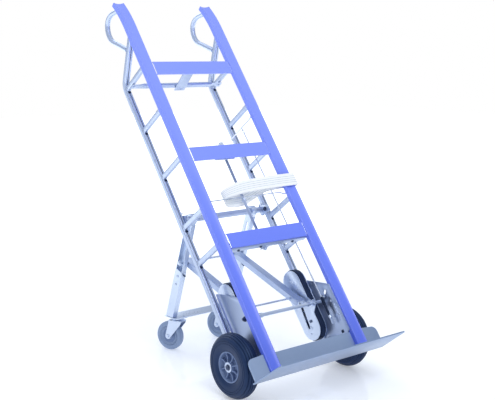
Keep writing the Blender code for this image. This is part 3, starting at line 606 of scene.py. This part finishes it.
def make_rear_frame():
    """Channels with their struts, the handle loops and the welds along the side plates."""
    section = channel_outline(0.024, 0.0058)
    loop = [(-0.0970, 1.5385), (-0.064, 1.5515), (-0.033, 1.563), (-0.005, 1.563), (0.018, 1.551),
            (0.033, 1.527), (0.037, 1.497), (0.028, 1.468), (0.003, 1.434), (-0.0405, 1.3752)]
    for side, sign in SIDES.items():
        x = sign * CHANNEL_X
        corners = [(x, CHANNEL_Y, -0.020), (x, CHANNEL_Y, 1.266), (x, -0.1062, 1.4057)]
        channel = sweep(section, filleted(corners, 0.030, 10))
        item = build(f"rear_channel_{side}_section", channel, TRUCK, angle=50)
        dress(item, "frame", "silver_aluminium", f"rear_channel_{side}")
        for number, height in enumerate(STRUT_HEIGHTS, 1):
            make_strut(side, x, number, height)
        path = [TRUCK @ point for point in smooth_path([(x, y, z) for y, z in loop], 6)]
        item = build(f"handle_loop_{side}_tube", tube(path, 0.0108, 24), UPRIGHT, 0.0010, 2, 60)
        dress(item, "frame", "tube_aluminium", f"handle_loop_{side}")
        make_weld_seam(side, sign)


def make_weld_seam(side, sign):
    """A row of overlapping weld ripples that joins the side plate to the channel."""
    spot, start, pitch, count = (sign * 0.2085, 0.0545), 0.020, 0.0042, 62
    ripples = []
    for i in range(count):
        height = start + pitch * i
        radius = 0.0021 + 0.0003 * math.sin(2.3 * i)
        ripple = [(height - 0.0026, radius * 0.55), (height - 0.0012, radius), (height + 0.0012, radius),
                  (height + 0.0026, radius * 0.55)]
        ripples.append(turned(ripple, spot, 10, "Z"))
    dress(build(f"weld_seam_{side}", merged(*ripples), TRUCK), "frame", "zinc_steel")


def make_strut(side, x, number, height):
    """A flat-sided tube with its rear end on the channel, a weld around it and a black block of painted shade
    below it.
    """
    front, back, weld_y = -0.1138, 0.0762, 0.0546
    if number == 1:
        back, weld_y = back - 0.011, 0.0480
    width, depth, corner = 0.016, 0.022, 0.0052
    outline = [(x + a, height + b) for a, b in round_box(width, depth, corner, 5)]
    item = build(f"strut_tube_{side}_{number}", prism(outline, "Y", front, back), TRUCK, 0.0008, 2)
    dress(item, "frame", "tube_aluminium", f"strut_{side}_{number}")
    collar = [(a * 1.09, b * 1.07) for a, b in round_box(width, depth, corner, 4)]
    rings = []
    for y, swell in ((weld_y - 0.0026, 0.98), (weld_y - 0.0006, 1.04), (weld_y + 0.0020, 1.10)):
        rings.append([(x + a * swell, y, height + b * swell) for a, b in collar])
    weld = build(f"strut_weld_{side}_{number}", skin(rings), TRUCK)
    dress(weld, "frame", "tube_aluminium", slot="silver_aluminium")
    # Painted shade: a black block in the channel below the strut's end stands for the shade in the gap there.
    shade_plug_drop = 0.0178
    outline = [(x + a, height - shade_plug_drop + b) for a, b in round_box(0.0120, 0.0088, 0.0036, 4)]
    item = build(f"plug_{side}_{number}", prism(outline, "Y", 0.0515, 0.0600), TRUCK, 0.0022, 3)
    dress(item, "frame", "black_plastic")


def make_upper_gear():
    """The stretcher under the grips and the ribbed brace at its middle."""
    refined("top_stretcher")
    refined("centre_brace", bevel=0.0012, segments=3)
    brace_front, brace_top, brace_slope = 0.017, 1.2190, 0.174
    for i, y in enumerate((0.018, 0.023, 0.028)):
        z = brace_top - (y - brace_front) * brace_slope
        bead = [(-0.008, y, z), (0.009, y, z - 0.0004), (0.026, y, z)]
        rib = build(f"brace_rib_{i}", tube(bead, 0.0011, 10, (0, 0, 1)), TRUCK)
        dress(rib, "frame", "silver_aluminium")
    for side, sign in SIDES.items():
        spot = (sign * 0.2190, 0.017, 1.2293)
        fasten(f"stretcher_bolt_{side}", hex_bolt(0.0055, 0.0035), spot, (0, 0, -1))


def make_nose():
    # The nose plate takes the darkened sheet, which paints its shade.
    refined("nose_plate", "nose_sheet_painted_shade", 0.0010, 3)
    for side, sign in SIDES.items():
        for i, (x, z) in enumerate(((0.206, -0.040), (0.237, -0.040), (0.2213, -0.072))):
            head = button_head(0.0052, 0.0026)
            fasten(f"nose_rivet_{side}_{i}", head, (sign * x, -0.1025, z), (0, 1, 0))


def make_side_plates():
    for side, sign in SIDES.items():
        refined(f"side_plate_{side}", bevel=0.0006)
        face_in, face_out = sign * 0.1918, sign * 0.1957
        inward, outward = (-sign, 0, 0), (sign, 0, 0)
        fasten(f"plate_rivet_{side}", button_head(0.0050, 0.0024), (face_in, -0.100, 0.065), inward)
        fasten(f"plate_bolt_{side}", hex_bolt(0.0062, 0.0042), (face_in, -0.004, 0.214), inward)
        fasten(f"plate_screw_{side}", button_head(0.0046, 0.0022), (face_in, -0.088, 0.128), inward)
        crease = [(sign * 0.1920, -0.0990, 0.112), (sign * 0.1914, -0.0990, 0.090),
                  (sign * 0.1914, -0.0960, 0.060), (sign * 0.1920, -0.0930, 0.040)]
        item = build(f"plate_bead_{side}", tube(smooth_path(crease, 4), 0.0016, 10), TRUCK)
        dress(item, "frame", "sheet_aluminium", slot="silver_aluminium")
        # Painted shade: a black square fills the plate's square hole, for the shade seen through it.
        shade_plug = prism(round_box(0.0138, 0.0118, 0.0022), "Z", 0, 0.0016)
        spot = (sign * 0.1935, -0.0790, 0.0010)
        fasten(f"plate_shade_plug_{side}", shade_plug, spot, inward, material="black_plastic")
        if side == "left":
            nut = hex_bolt(0.0080, 0.0070, 1.3, 0.004)
            fasten("shaft_nut_left", nut, (face_out, *LATCH), outward, material="dark_steel")


def make_centre_gear():
    refined("crossbar_angle", bevel=0.0005)
    refined("strap_bracket", bevel=0.0006)
    refined("centre_rod")
    refined("strap_wire")
    for i, x in enumerate((-0.150, -0.040, 0.123)):
        nut = hex_bolt(0.0048, 0.0034, 1.3)
        fasten(f"angle_nut_{i}", nut, (x, -0.1030, 0.3957), (0, 0, -1), material="dark_steel")


# --- strap ---

# The strap's path round the rail and back: x, y, and the heights of its two edges.
COIL = [
    (0.2620, -0.1120, 0.6300, 0.6830), (0.2610, -0.1270, 0.6285, 0.6820),
    (0.2500, -0.1335, 0.6275, 0.6815), (0.1500, -0.1330, 0.6270, 0.6800),
    (0.0600, -0.1290, 0.6260, 0.6785), (-0.0200, -0.1210, 0.6250, 0.6750),
    (-0.0620, -0.1080, 0.6240, 0.6690), (-0.0900, -0.0930, 0.6235, 0.6620),
    (-0.0960, -0.0760, 0.6120, 0.6570), (-0.0800, -0.0600, 0.6000, 0.6510),
    (-0.0400, -0.0540, 0.5960, 0.6480), (0.0100, -0.0570, 0.5990, 0.6500),
    (0.0600, -0.0650, 0.6160, 0.6620), (0.1200, -0.0750, 0.6360, 0.6820),
    (0.1800, -0.0860, 0.6380, 0.6850), (0.2400, -0.0970, 0.6340, 0.6850),
    (0.2560, -0.1010, 0.6320, 0.6840),
]


def strap_layer(name, inset, lift):
    """One turn of the webbing: a flat closed band with rounded selvedges and a slight wave."""
    low = smooth_path([(x, y, bottom) for x, y, bottom, top in COIL], 8, True)
    high = smooth_path([(x, y, top) for x, y, bottom, top in COIL], 8, True)
    count, rows = len(low), 7
    thick, hollow_depth, width = 0.0014, 0.0006, 0.050
    up = [row / rows for row in range(rows + 1)]
    section = [(t, 0.0) for t in up] + [(t, thick) for t in reversed(up)]
    bm = bmesh.new()
    uv_layer = bm.loops.layers.uv.new("strap")
    distance, rings, lengths = 0.0, [], []
    for i in range(count):
        before, after = low[i - 1], low[(i + 1) % count]
        along = Vector((after.x - before.x, after.y - before.y, 0)).normalized()
        inward = Vector((along.y, -along.x, 0))
        swell = 0.0005 * math.sin(0.19 * i + 40 * inset) + 0.0003 * math.sin(0.47 * i)
        foot = low[i] + inward * (inset + swell) + Vector((0, 0, lift))
        head = high[i] + inward * (inset + swell * 0.4) + Vector((0, 0, lift * 0.7))
        ring = []
        for t, depth in section:
            hollow = hollow_depth * math.sin(math.pi * t)
            ring.append(bm.verts.new(foot.lerp(head, t) + inward * (hollow + depth)))
        rings.append(ring)
        lengths.append(distance)
        distance += (low[(i + 1) % count] - low[i]).length
    lengths.append(distance)
    size = len(section)

    def across(index):
        row = index if index <= rows else 2 * rows + 1 - index
        return width * row / rows

    for i in range(count):
        first, second = rings[i], rings[(i + 1) % count]
        for a in range(size):
            b = (a + 1) % size
            face = bm.faces.new((first[a], first[b], second[b], second[a]))
            spots = ((lengths[i], a), (lengths[i], b), (lengths[i + 1], b), (lengths[i + 1], a))
            for loop, (along_value, index) in zip(face.loops, spots):
                loop[uv_layer].uv = (along_value, across(index))
    return build(name, bm, TRUCK, 0.0004, 2, 60)


def make_strap():
    layers = ((0.0002, 0.0), (0.0021, -0.0012), (0.0040, 0.0014))
    for number, (inset, lift) in enumerate(layers):
        item = strap_layer(f"strap_turn_{number}", inset, lift)
        dress(item, "frame", "strap_fabric", *(["strap_coil"] if number == 0 else []))


# --- wheels ---


def joint_point(name):
    """Where a joint's axis passes, in world axes."""
    return Vector(JOINTS[name]["pos_m"])


def tyre_section():
    """Half a tyre section, from the rim seat over the ribbed sidewall to the middle of the tread.

    Each pair is the depth inside the sidewall's outermost plane and the radius.
    """
    half = (TYRE_OUTER - TYRE_INNER) / 2
    wall = [(0.0060, RIM_RADIUS), (0.0052, 0.0620), (0.0030, 0.0665), (0.0012, 0.0730), (0.0004, 0.0800),
            (0.0002, 0.0868), (0.0014, 0.0876), (0.0014, 0.0890), (0, 0.0898), (0.0002, 0.0952),
            (0.0018, 0.0960), (0.0020, 0.0974), (0.0006, 0.0982), (0.0012, 0.1020), (0.0032, 0.1062),
            (0.0066, 0.1098)]
    tread = [(0.0090, 0.1104), (0.0098, 0.1090), (0.0112, 0.1092), (0.0118, 0.1132), (0.0150, 0.1160),
             (0.0176, 0.1172), (0.0184, 0.1144), (0.0200, 0.1146), (0.0206, 0.1184), (0.0236, 0.1198),
             (0.0258, 0.1204), (0.0264, 0.1172), (0.0280, 0.1172), (0.0286, 0.1207)]
    crown = [(0.0022, TYRE_RADIUS), (0.0014, TYRE_RADIUS - 0.0006)]
    return [(half - depth, radius) for depth, radius in wall + tread] + crown


def make_wheels():
    middle, half = (TYRE_INNER + TYRE_OUTER) / 2, (TYRE_OUTER - TYRE_INNER) / 2
    profile = mirrored(tyre_section())
    for side, sign in SIDES.items():
        mesh = turned([(sign * x, r) for x, r in profile], steps=96, closed=True)
        centre = joint_point(f"wheel_{side}_spin")
        place = Matrix.Translation((sign * middle, centre.y, centre.z))
        item = build(f"tyre_{side}_tread", mesh, place, angle=38)
        dress(item, f"wheel_{side}", "tyre_rubber", f"tyre_{side}")
        make_hub(side, sign, place, middle, half)


def make_hub(side, sign, place, middle, half):
    """A moulded hub with eight ribs on its outer face, a bearing, and the axle nut in dark steel as painted shade.
    """
    bore, seat, boss = 0.0099, 0.0058, half - 0.0052
    web, inner_web, rib_count = half - 0.0235, 0.031 - half, 8
    outer_face = [(boss, bore), (boss, 0.0165), (boss - 0.0012, 0.0190), (half - 0.0200, 0.0225),
                  (web, 0.0300), (web, 0.0450), (half - 0.0190, 0.0500), (half - 0.0070, 0.0520),
                  (half - 0.0048, 0.0536), (half - 0.0048, 0.0560), (half - seat, 0.0580)]
    inner_face = [(seat - half, 0.0580), (0.0048 - half, 0.0562), (0.0048 - half, 0.0530),
                  (0.027 - half, 0.0490), (inner_web, 0.0440), (inner_web, 0.0280), (0.024 - half, 0.0240),
                  (0.003 - half, 0.0200)]
    profile = [(0.003 - half, bore)] + outer_face + inner_face
    body = turned([(sign * x, r) for x, r in profile], steps=72, closed=True)
    root = half - 0.0245
    rib = [(root, 0.0190), (boss - 0.0016, 0.0188), (half - 0.0120, 0.0330), (half - 0.0100, 0.0517),
           (root, 0.0517)]
    ribs = spokes([(sign * x, z) for x, z in rib], 0.0023, rib_count, 0.5)
    item = build(f"hub_{side}_casting", merged(body, *ribs), place, 0.0008, 2, 40)
    dress(item, f"wheel_{side}", "grey_hub", f"hub_{side}")
    race = [(0.0002, 0.0104), (0.0012, 0.0104), (0.0012, 0.0132), (0.0004, 0.0138), (0.0004, 0.0152),
            (0.0014, 0.0156), (0.0014, 0.0186), (0.0002, 0.0190)]
    ring = turned([(sign * (boss + x), r) for x, r in race], closed=True)
    dress(build(f"bearing_{side}", ring, place), f"wheel_{side}", "zinc_steel")
    # Painted shade: the axle nut is dark steel so the middle of the bright bearing ring shows dark.
    nut = hex_bolt(0.0094, 0.0050, 1.22, 0.0018)
    spot = (sign * (middle + boss + 0.0010), *AXLE)
    fasten(f"axle_nut_{side}", nut, spot, (sign, 0, 0), material="dark_steel")


def make_axle():
    end, radius = 0.3130, 0.0095
    item = build("axle_bar", turned([(-end, radius), (end, radius)], AXLE, 32), TRUCK, 0.0008)
    dress(item, "frame", "zinc_steel", "axle")


# --- glide units ---


def make_glides():
    """Each unit's plates, its grooved belt, its two rollers and the fasteners on both faces."""
    upper, lower = ROLLERS["upper"], ROLLERS["lower"]
    left, right, belt_radius, belt_bore = 0.1555, 0.1795, 0.0525, 0.0473
    edge = [(0, 0), (0, 0.9), (0.0010, 1), (0.0060, 1), (0.0070, 0.72), (0.0080, 0.72), (0.0090, 1)]
    section = [(left + x, t) for x, t in edge] + [(right - x, t) for x, t in reversed(edge)]
    for side, sign in SIDES.items():
        refined(f"glide_frame_{side}", bevel=0.0005)
        rings = []
        inner, outer = (stadium(lower, upper, radius, 30) for radius in (belt_bore, belt_radius))
        for (ya, za), (yb, zb) in zip(inner, outer):
            rings.append([(sign * x, ya + (yb - ya) * t, za + (zb - za) * t) for x, t in section])
        item = build(f"glide_belt_{side}_band", skin(rings, True), TRUCK, angle=40)
        dress(item, "frame", "belt_rubber", f"glide_belt_{side}")
        for level, at in ROLLERS.items():
            make_roller(side, sign, level, at)
        inside, outside = sign * 0.1499, sign * 0.1850
        inward, outward = (-sign, 0, 0), (sign, 0, 0)
        for level, at in ROLLERS.items():
            bolt = hex_bolt(0.0075, 0.0048, 1.4)
            fasten(f"roller_bolt_{level}_{side}", bolt, (outside, *at), outward)
            cap = button_head(0.0080, 0.0026)
            fasten(f"roller_cap_{level}_{side}", cap, (inside, *at), inward)
        spots = ((0.018, 0.236, 0.0042), (0.040, 0.279, 0.0046), (0.046, 0.052, 0.0044))
        for i, (y, z, r) in enumerate(spots):
            fasten(f"glide_screw_{i}_{side}", button_head(r, 0.0020), (inside, y, z), inward)
        block = prism(round_box(0.0105, 0.0105, 0.0015), "Z", 0, 0.0040)
        fasten(f"glide_block_{side}", block, (inside, 0.0180, 0.0950), inward, material="dark_steel")


def make_roller(side, sign, level, at):
    """An idler with a grooved tread and six ribs across its web."""
    middle, half, bore = 0.1675, 0.0130, 0.0064
    right_face = [(half, bore), (half, 0.0120), (half - 0.0040, 0.0140), (0.0045, 0.0160),
                  (0.0040, 0.0340), (half - 0.0060, 0.0380), (half - 0.0010, 0.0390),
                  (half - 0.0010, 0.0455), (half - 0.0020, 0.0465), (0.0035, 0.0465), (0.0020, 0.0450)]
    left_face = [(-x, r) for x, r in reversed(right_face)]
    profile = left_face[-1:] + right_face + left_face[:-1]
    rib = ((-0.0085, 0.0150), (0.0085, 0.0150), (0.0085, 0.0385), (-0.0085, 0.0385))
    shells = [turned(profile, steps=64, closed=True), *spokes(rib, 0.0018, 6)]
    place = TRUCK @ Matrix.Translation((sign * middle, *at))
    item = build(f"roller_{level}_{side}_wheel", merged(*shells), place, angle=38)
    dress(item, f"{level}_roller_{side}", "grey_hub", f"roller_{level}_{side}")


# --- legs ---


def make_legs():
    """The folding legs, their rods and brackets, and the plates over the casters."""
    leg_axes = Matrix.Translation(joint_point("leg_fold")) @ Matrix.Rotation(LEG_LEAN, 4, "X")
    for name in ("leg_left", "leg_right"):
        refined(name, "leg_aluminium", 0.0011, 3)
    refined("foot_bar", bevel=0.0007)
    for name in ("knee_rod", "foot_rod", "leg_shaft"):
        refined(name)
    for side, sign in SIDES.items():
        refined(f"brace_{side}", "brace_steel", 0.0007)
        refined(f"shaft_bracket_{side}", bevel=0.0014, segments=3)
        outward = (sign, 0, 0)
        for name, z in (("splice_rivet", -0.262), ("splice_rivet_low", -0.300)):
            rivet = button_head(0.0055, 0.0026)
            fasten(f"{name}_{side}", rivet, (sign * 0.1669, 0, z), outward, "legs", base=leg_axes)
        pin = turned([(0, 0.0038), (0.011, 0.0038), (0.0125, 0.0024)], steps=20, axis="Z")
        spot = (sign * 0.155, -0.0220, -0.246)
        fasten(f"snap_pin_{side}", pin, spot, (0, -1, 0), "legs", "dark_steel", leg_axes)
        nut = hex_bolt(0.0078, 0.0050, 1.3)
        fasten(f"knee_nut_{side}", nut, (sign * 0.1685, 0, -0.2007), outward, "legs", base=leg_axes)
        bolt = hex_bolt(0.0070, 0.0048, 1.35)
        spot = (sign * 0.2055, 0.0560, 0.6230)
        fasten(f"bracket_bolt_{side}", bolt, spot, (-sign, 0, 0), material="dark_steel")
        clip = [(sign * 0.2050, y, z) for y, z in ((0.0880, 0.6480), (0.0700, 0.6560), (0.0540, 0.6500))]
        hook = tube(smooth_path(clip, 5), 0.0024, 10)
        dress(build(f"shaft_clip_{side}", hook, TRUCK), "frame", "bright_steel")
        for i, y in enumerate((0.2190, 0.2790)):
            head = hex_bolt(0.0050, 0.0034, 1.35)
            spot = (sign * 0.118, y, 0.1511)
            fasten(f"caster_bolt_{side}_{i}", head, spot, (0, 0, 1), "legs", base=UPRIGHT)
        plate = [(sign * 0.128 + a, 0.2451 + b) for a, b in round_box(0.058, 0.066, 0.008, 4)]
        item = build(f"caster_plate_{side}", prism(plate, "Z", 0.1440, 0.1469), UPRIGHT, 0.0006)
        dress(item, "legs", "zinc_steel")


# --- casters ---


def make_casters():
    """Forks turned a little each way, as they stand, with their races, pins, nuts and wheels."""
    turns = {"left": math.radians(21), "right": math.radians(13)}
    trail, hub_z, stem_top = 0.040, 0.061, 0.1462
    gap, wall, plate_z = 0.0185, 0.0025, 0.1300
    for side, turn in turns.items():
        body = f"caster_{side}"
        pivot = joint_point(f"caster_{side}_swivel")
        axes = Matrix.Translation((pivot.x, pivot.y, 0)) @ Matrix.Rotation(turn, 4, "Z")
        arm = [(-0.027, plate_z + wall), (-0.0235, 0.1195), *arc((trail, hub_z), 0.0125, 210, 370, 10),
               (0.0375, 0.1190), (0.0360, plate_z + wall)]
        cheeks = [prism(arm, "X", low, low + wall) for low in (gap, -gap - wall)]
        crown = [(a, b + 0.0035) for a, b in round_box(2 * (gap + wall), 0.066, 0.0090, 5)]
        plate = prism(crown, "Z", plate_z, plate_z + wall)
        profile = [(0.0022, 0.0265), (0.0045, 0.0265), (0.0062, 0.0245), (0.0068, 0.0200), (0.0072, 0.0105)]
        profile = [(plate_z + z, r) for z, r in profile] + [(stem_top, 0.0105)]
        dome = turned(profile, steps=40, axis="Z")
        item = build(f"caster_fork_{side}_steel", merged(*cheeks, plate, dome), axes, 0.0007, 2, 40)
        dress(item, body, "zinc_steel", f"caster_fork_{side}")
        profile = [(plate_z - 0.0042, 0.0150), (plate_z - 0.0036, 0.0225), (plate_z + 0.0002, 0.0240)]
        race = turned(profile, steps=40, axis="Z")
        dress(build(f"swivel_race_{side}", race, axes), body, "zinc_steel")
        reach = gap + wall + 0.0005
        pin = turned([(-reach, 0.0040), (reach, 0.0040)], (trail, hub_z), 24)
        dress(build(f"caster_pin_{side}", pin, axes), body, "bright_steel")
        for end, letter in ((-1, "a"), (1, "b")):
            nut = hex_bolt(0.0068, 0.0042, 1.3)
            spot = (end * (gap + wall - 0.0002), trail, hub_z)
            fasten(f"caster_nut_{side}_{letter}", nut, spot, (end, 0, 0), body, base=axes)
        make_caster_wheel(side, axes @ Matrix.Translation((0, trail, hub_z)))


def make_caster_wheel(side, place):
    """A soft tread around a dished centre with a ring groove and a round boss."""
    half = [(0.0165, 0.0046), (0.0165, 0.0100), (0.0156, 0.0118), (0.0112, 0.0134), (0.0098, 0.0180),
            (0.0094, 0.0300), (0.0100, 0.0345), (0.0128, 0.0368), (0.0134, 0.0392), (0.0104, 0.0404),
            (0.0134, 0.0418), (0.0146, 0.0450), (0.0150, 0.0500), (0.0144, 0.0548), (0.0122, 0.0584),
            (0.0085, 0.0603), (0.0030, 0.0609)]
    tread = turned(mirrored(half), steps=72, closed=True)
    item = build(f"caster_tread_{side}", tread, place, angle=50)
    dress(item, f"caster_wheel_body_{side}", "caster_grey", f"caster_wheel_{side}")
    disc = [(0.0096, 0.0140), (0.0108, 0.0150), (0.0104, 0.0290), (0.0096, 0.0300)]
    for end, letter in ((-1, "a"), (1, "b")):
        ring = turned([(end * x, r) for x, r in disc], closed=True)
        item = build(f"caster_disc_{side}_{letter}", ring, place)
        dress(item, f"caster_wheel_body_{side}", "grey_hub")


# --- release gear ---


def rope_mesh(top, ahead, length):
    """A straight round rope with UVs in metres, for the strands to follow."""
    radius, steps, sections = 0.0028, 14, 60
    girth = 0.0138
    side = ahead.cross(Vector((1, 0, 0))).normalized()
    other = side.cross(ahead)
    angles = [math.tau * k / steps for k in range(steps)]
    bm = bmesh.new()
    uv_layer = bm.loops.layers.uv.new("rope")
    rows = []
    for i in range(sections + 1):
        centre = top + ahead * (length * i / sections)
        around = [(side * math.cos(a) + other * math.sin(a)) * radius for a in angles]
        rows.append([bm.verts.new(centre + offset) for offset in around])
    for i in range(sections):
        for k in range(steps):
            next_k = (k + 1) % steps
            face = bm.faces.new((rows[i][k], rows[i][next_k], rows[i + 1][next_k], rows[i + 1][k]))
            spots = ((i, k), (i, k + 1), (i + 1, k + 1), (i + 1, k))
            for loop, (along, turn) in zip(face.loops, spots):
                loop[uv_layer].uv = (length * along / sections, girth * turn / steps)
    bm.faces.new(rows[0])
    bm.faces.new(rows[-1])
    return bm


def hanging(low, stations):
    """A round piece of (distance, radius) stations that hangs from the rope's lower end."""
    down = Vector((0, 0.02, -1)).normalized()
    rings = []
    for distance, radius in stations:
        centre = low + down * distance
        angles = [math.tau * k / 24 for k in range(24)]
        rings.append([centre + Vector((radius * math.cos(a), radius * math.sin(a), 0)) for a in angles])
    return skin(rings)


def make_release():
    """The lever, the wire rope with its ferrule, boot and adjuster, and the latch shaft."""
    refined("release_lever")
    refined("latch_shaft", bevel=0.0004)
    top, low = Vector((0.185, -0.040, 0.9638)), Vector((0.176, -0.066, 0.157))
    ahead, clearance = (low - top).normalized(), 0.0015
    rope = build("release_rope_strands", rope_mesh(top, ahead, (low - top).length - clearance), TRUCK)
    dress(rope, "rope", "wire_rope", "release_rope", slot="bright_steel")

    stations = [(0.0, 0.0038), (0.003, 0.0062), (0.0060, 0.0066)]
    for i in range(5):
        start = 0.008 + i * 0.0046
        stations += [(start, 0.0056), (start + 0.0012, 0.0066), (start + 0.0030, 0.0066)]
    stations += [(0.0320, 0.0045), (0.0780, 0.0045)]
    boot = build("rope_boot_bellows", hanging(low, stations), TRUCK)
    dress(boot, "rope", "black_plastic", "rope_boot")
    stations = [(0.0778, 0.0056), (0.0880, 0.0056), (0.0884, 0.0034)]
    for i in range(13):
        stations += [(0.0892 + i * 0.0020, 0.0035), (0.0902 + i * 0.0020, 0.0029)]
    dress(build("rope_adjuster", hanging(low, stations), TRUCK), "rope", "zinc_steel")
    profile = [(0, 0.0030), (0.001, 0.0042), (0.016, 0.0042), (0.018, 0.0028)]
    ferrule = turned(profile, steps=20, axis="Z")
    fasten("rope_ferrule", ferrule, top + ahead * 0.006, ahead, "rope", "bright_steel")


# --- floor, light and camera ---


def make_stage():
    """A pale, slightly glossy floor with a painted glow that grows with distance until it shows white, the sky and
    two soft lamps.
    """
    bm = bmesh.new()
    bmesh.ops.create_grid(bm, x_segments=1, y_segments=1, size=14)
    floor = build("studio_floor", bm, Matrix.Translation((0, 0, -0.0005)), smooth=False)
    material, tree, shader = new_material("studio_floor", 0.0)
    cloud = noise(tree, coordinates(tree), 0.7, 2)
    tone = ramp(tree, cloud, [(0.3, (0.90, 0.915, 0.935)), (0.7, (0.93, 0.94, 0.955))])
    tree.links.new(tone, shader.inputs["Base Color"])
    tree.links.new(remapped(tree, cloud, (0, 1), (0.05, 0.07)), shader.inputs["Roughness"])
    # Painted light: the floor glows, faintly near the truck and more strongly further off.
    shader.inputs["Emission Color"].default_value = (0.96, 0.98, 1.0, 1)
    reach = node(tree, "VectorMath", [(0, coordinates(tree))], operation="LENGTH").outputs["Value"]
    near_and_far, glow = (1.4, 3.4), (0.33, 1.1)
    tree.links.new(remapped(tree, reach, near_and_far, glow), shader.inputs["Emission Strength"])
    floor.data.materials.append(material)

    make_world()
    aim = Vector((0, 0, 0.6))
    lamps = (
        ("key", (-0.7, -2.5, 3.0), 1.6, 34, (1.0, 1.0, 1.0)),
        ("rim", (0.4, 3.0, 3.0), 2.4, 30, (0.92, 0.96, 1.0)),
    )
    for name, spot, size, power, colour in lamps:
        light = bpy.data.lights.new(name, "AREA")
        light.shape, light.size, light.energy, light.color = "SQUARE", size, power, colour
        lamp = bpy.data.objects.new(name, light)
        bpy.context.scene.collection.objects.link(lamp)
        lamp.location = spot
        lamp.rotation_euler = (aim - Vector(spot)).to_track_quat("-Z", "Y").to_euler()


def make_world():
    """A white studio. What lights the truck is dimmer near the horizon than overhead."""
    world = bpy.data.worlds.new("studio")
    bpy.context.scene.world = world
    world.use_nodes = True
    tree = world.node_tree
    lighting = tree.nodes["Background"]
    direction = node(tree, "TexCoord").outputs["Generated"]
    height = node(tree, "SeparateXYZ", [("Vector", direction)]).outputs["Z"]
    sky = ramp(tree, height, [(0.0, (0.42, 0.47, 0.56)), (0.25, (0.44, 0.49, 0.58)),
                              (0.6, (0.60, 0.65, 0.74)), (1.0, (0.85, 0.88, 0.93))])
    tree.links.new(sky, lighting.inputs["Color"])
    backdrop = node(tree, "Background", [("Color", (1, 1, 1, 1)), ("Strength", 1.0)])
    seen = node(tree, "LightPath").outputs["Is Camera Ray"]
    shaders = [(0, seen), (1, lighting.outputs[0]), (2, backdrop.outputs[0])]
    mix = node(tree, "MixShader", shaders)
    tree.links.new(mix.outputs[0], tree.nodes["World Output"].inputs["Surface"])


def make_camera():
    camera = bpy.data.cameras.new("photo_camera")
    camera.sensor_width, camera.lens = 36, 66.18
    item = bpy.data.objects.new("photo_camera", camera)
    bpy.context.scene.collection.objects.link(item)
    item.location = (-2.2476, -2.4529 - SHIFT, 1.2287)
    item.rotation_euler = (math.radians(90 - 9.0243), 0, math.radians(-39.3894))
    bpy.context.scene.camera = item
    bpy.context.scene.view_settings.view_transform = "Standard"


make_camera()
make_rails()
make_crossbars()
make_rear_frame()
make_upper_gear()
make_nose()
make_side_plates()
make_centre_gear()
make_strap()
make_wheels()
make_axle()
make_glides()
make_legs()
make_casters()
make_release()
make_stage()
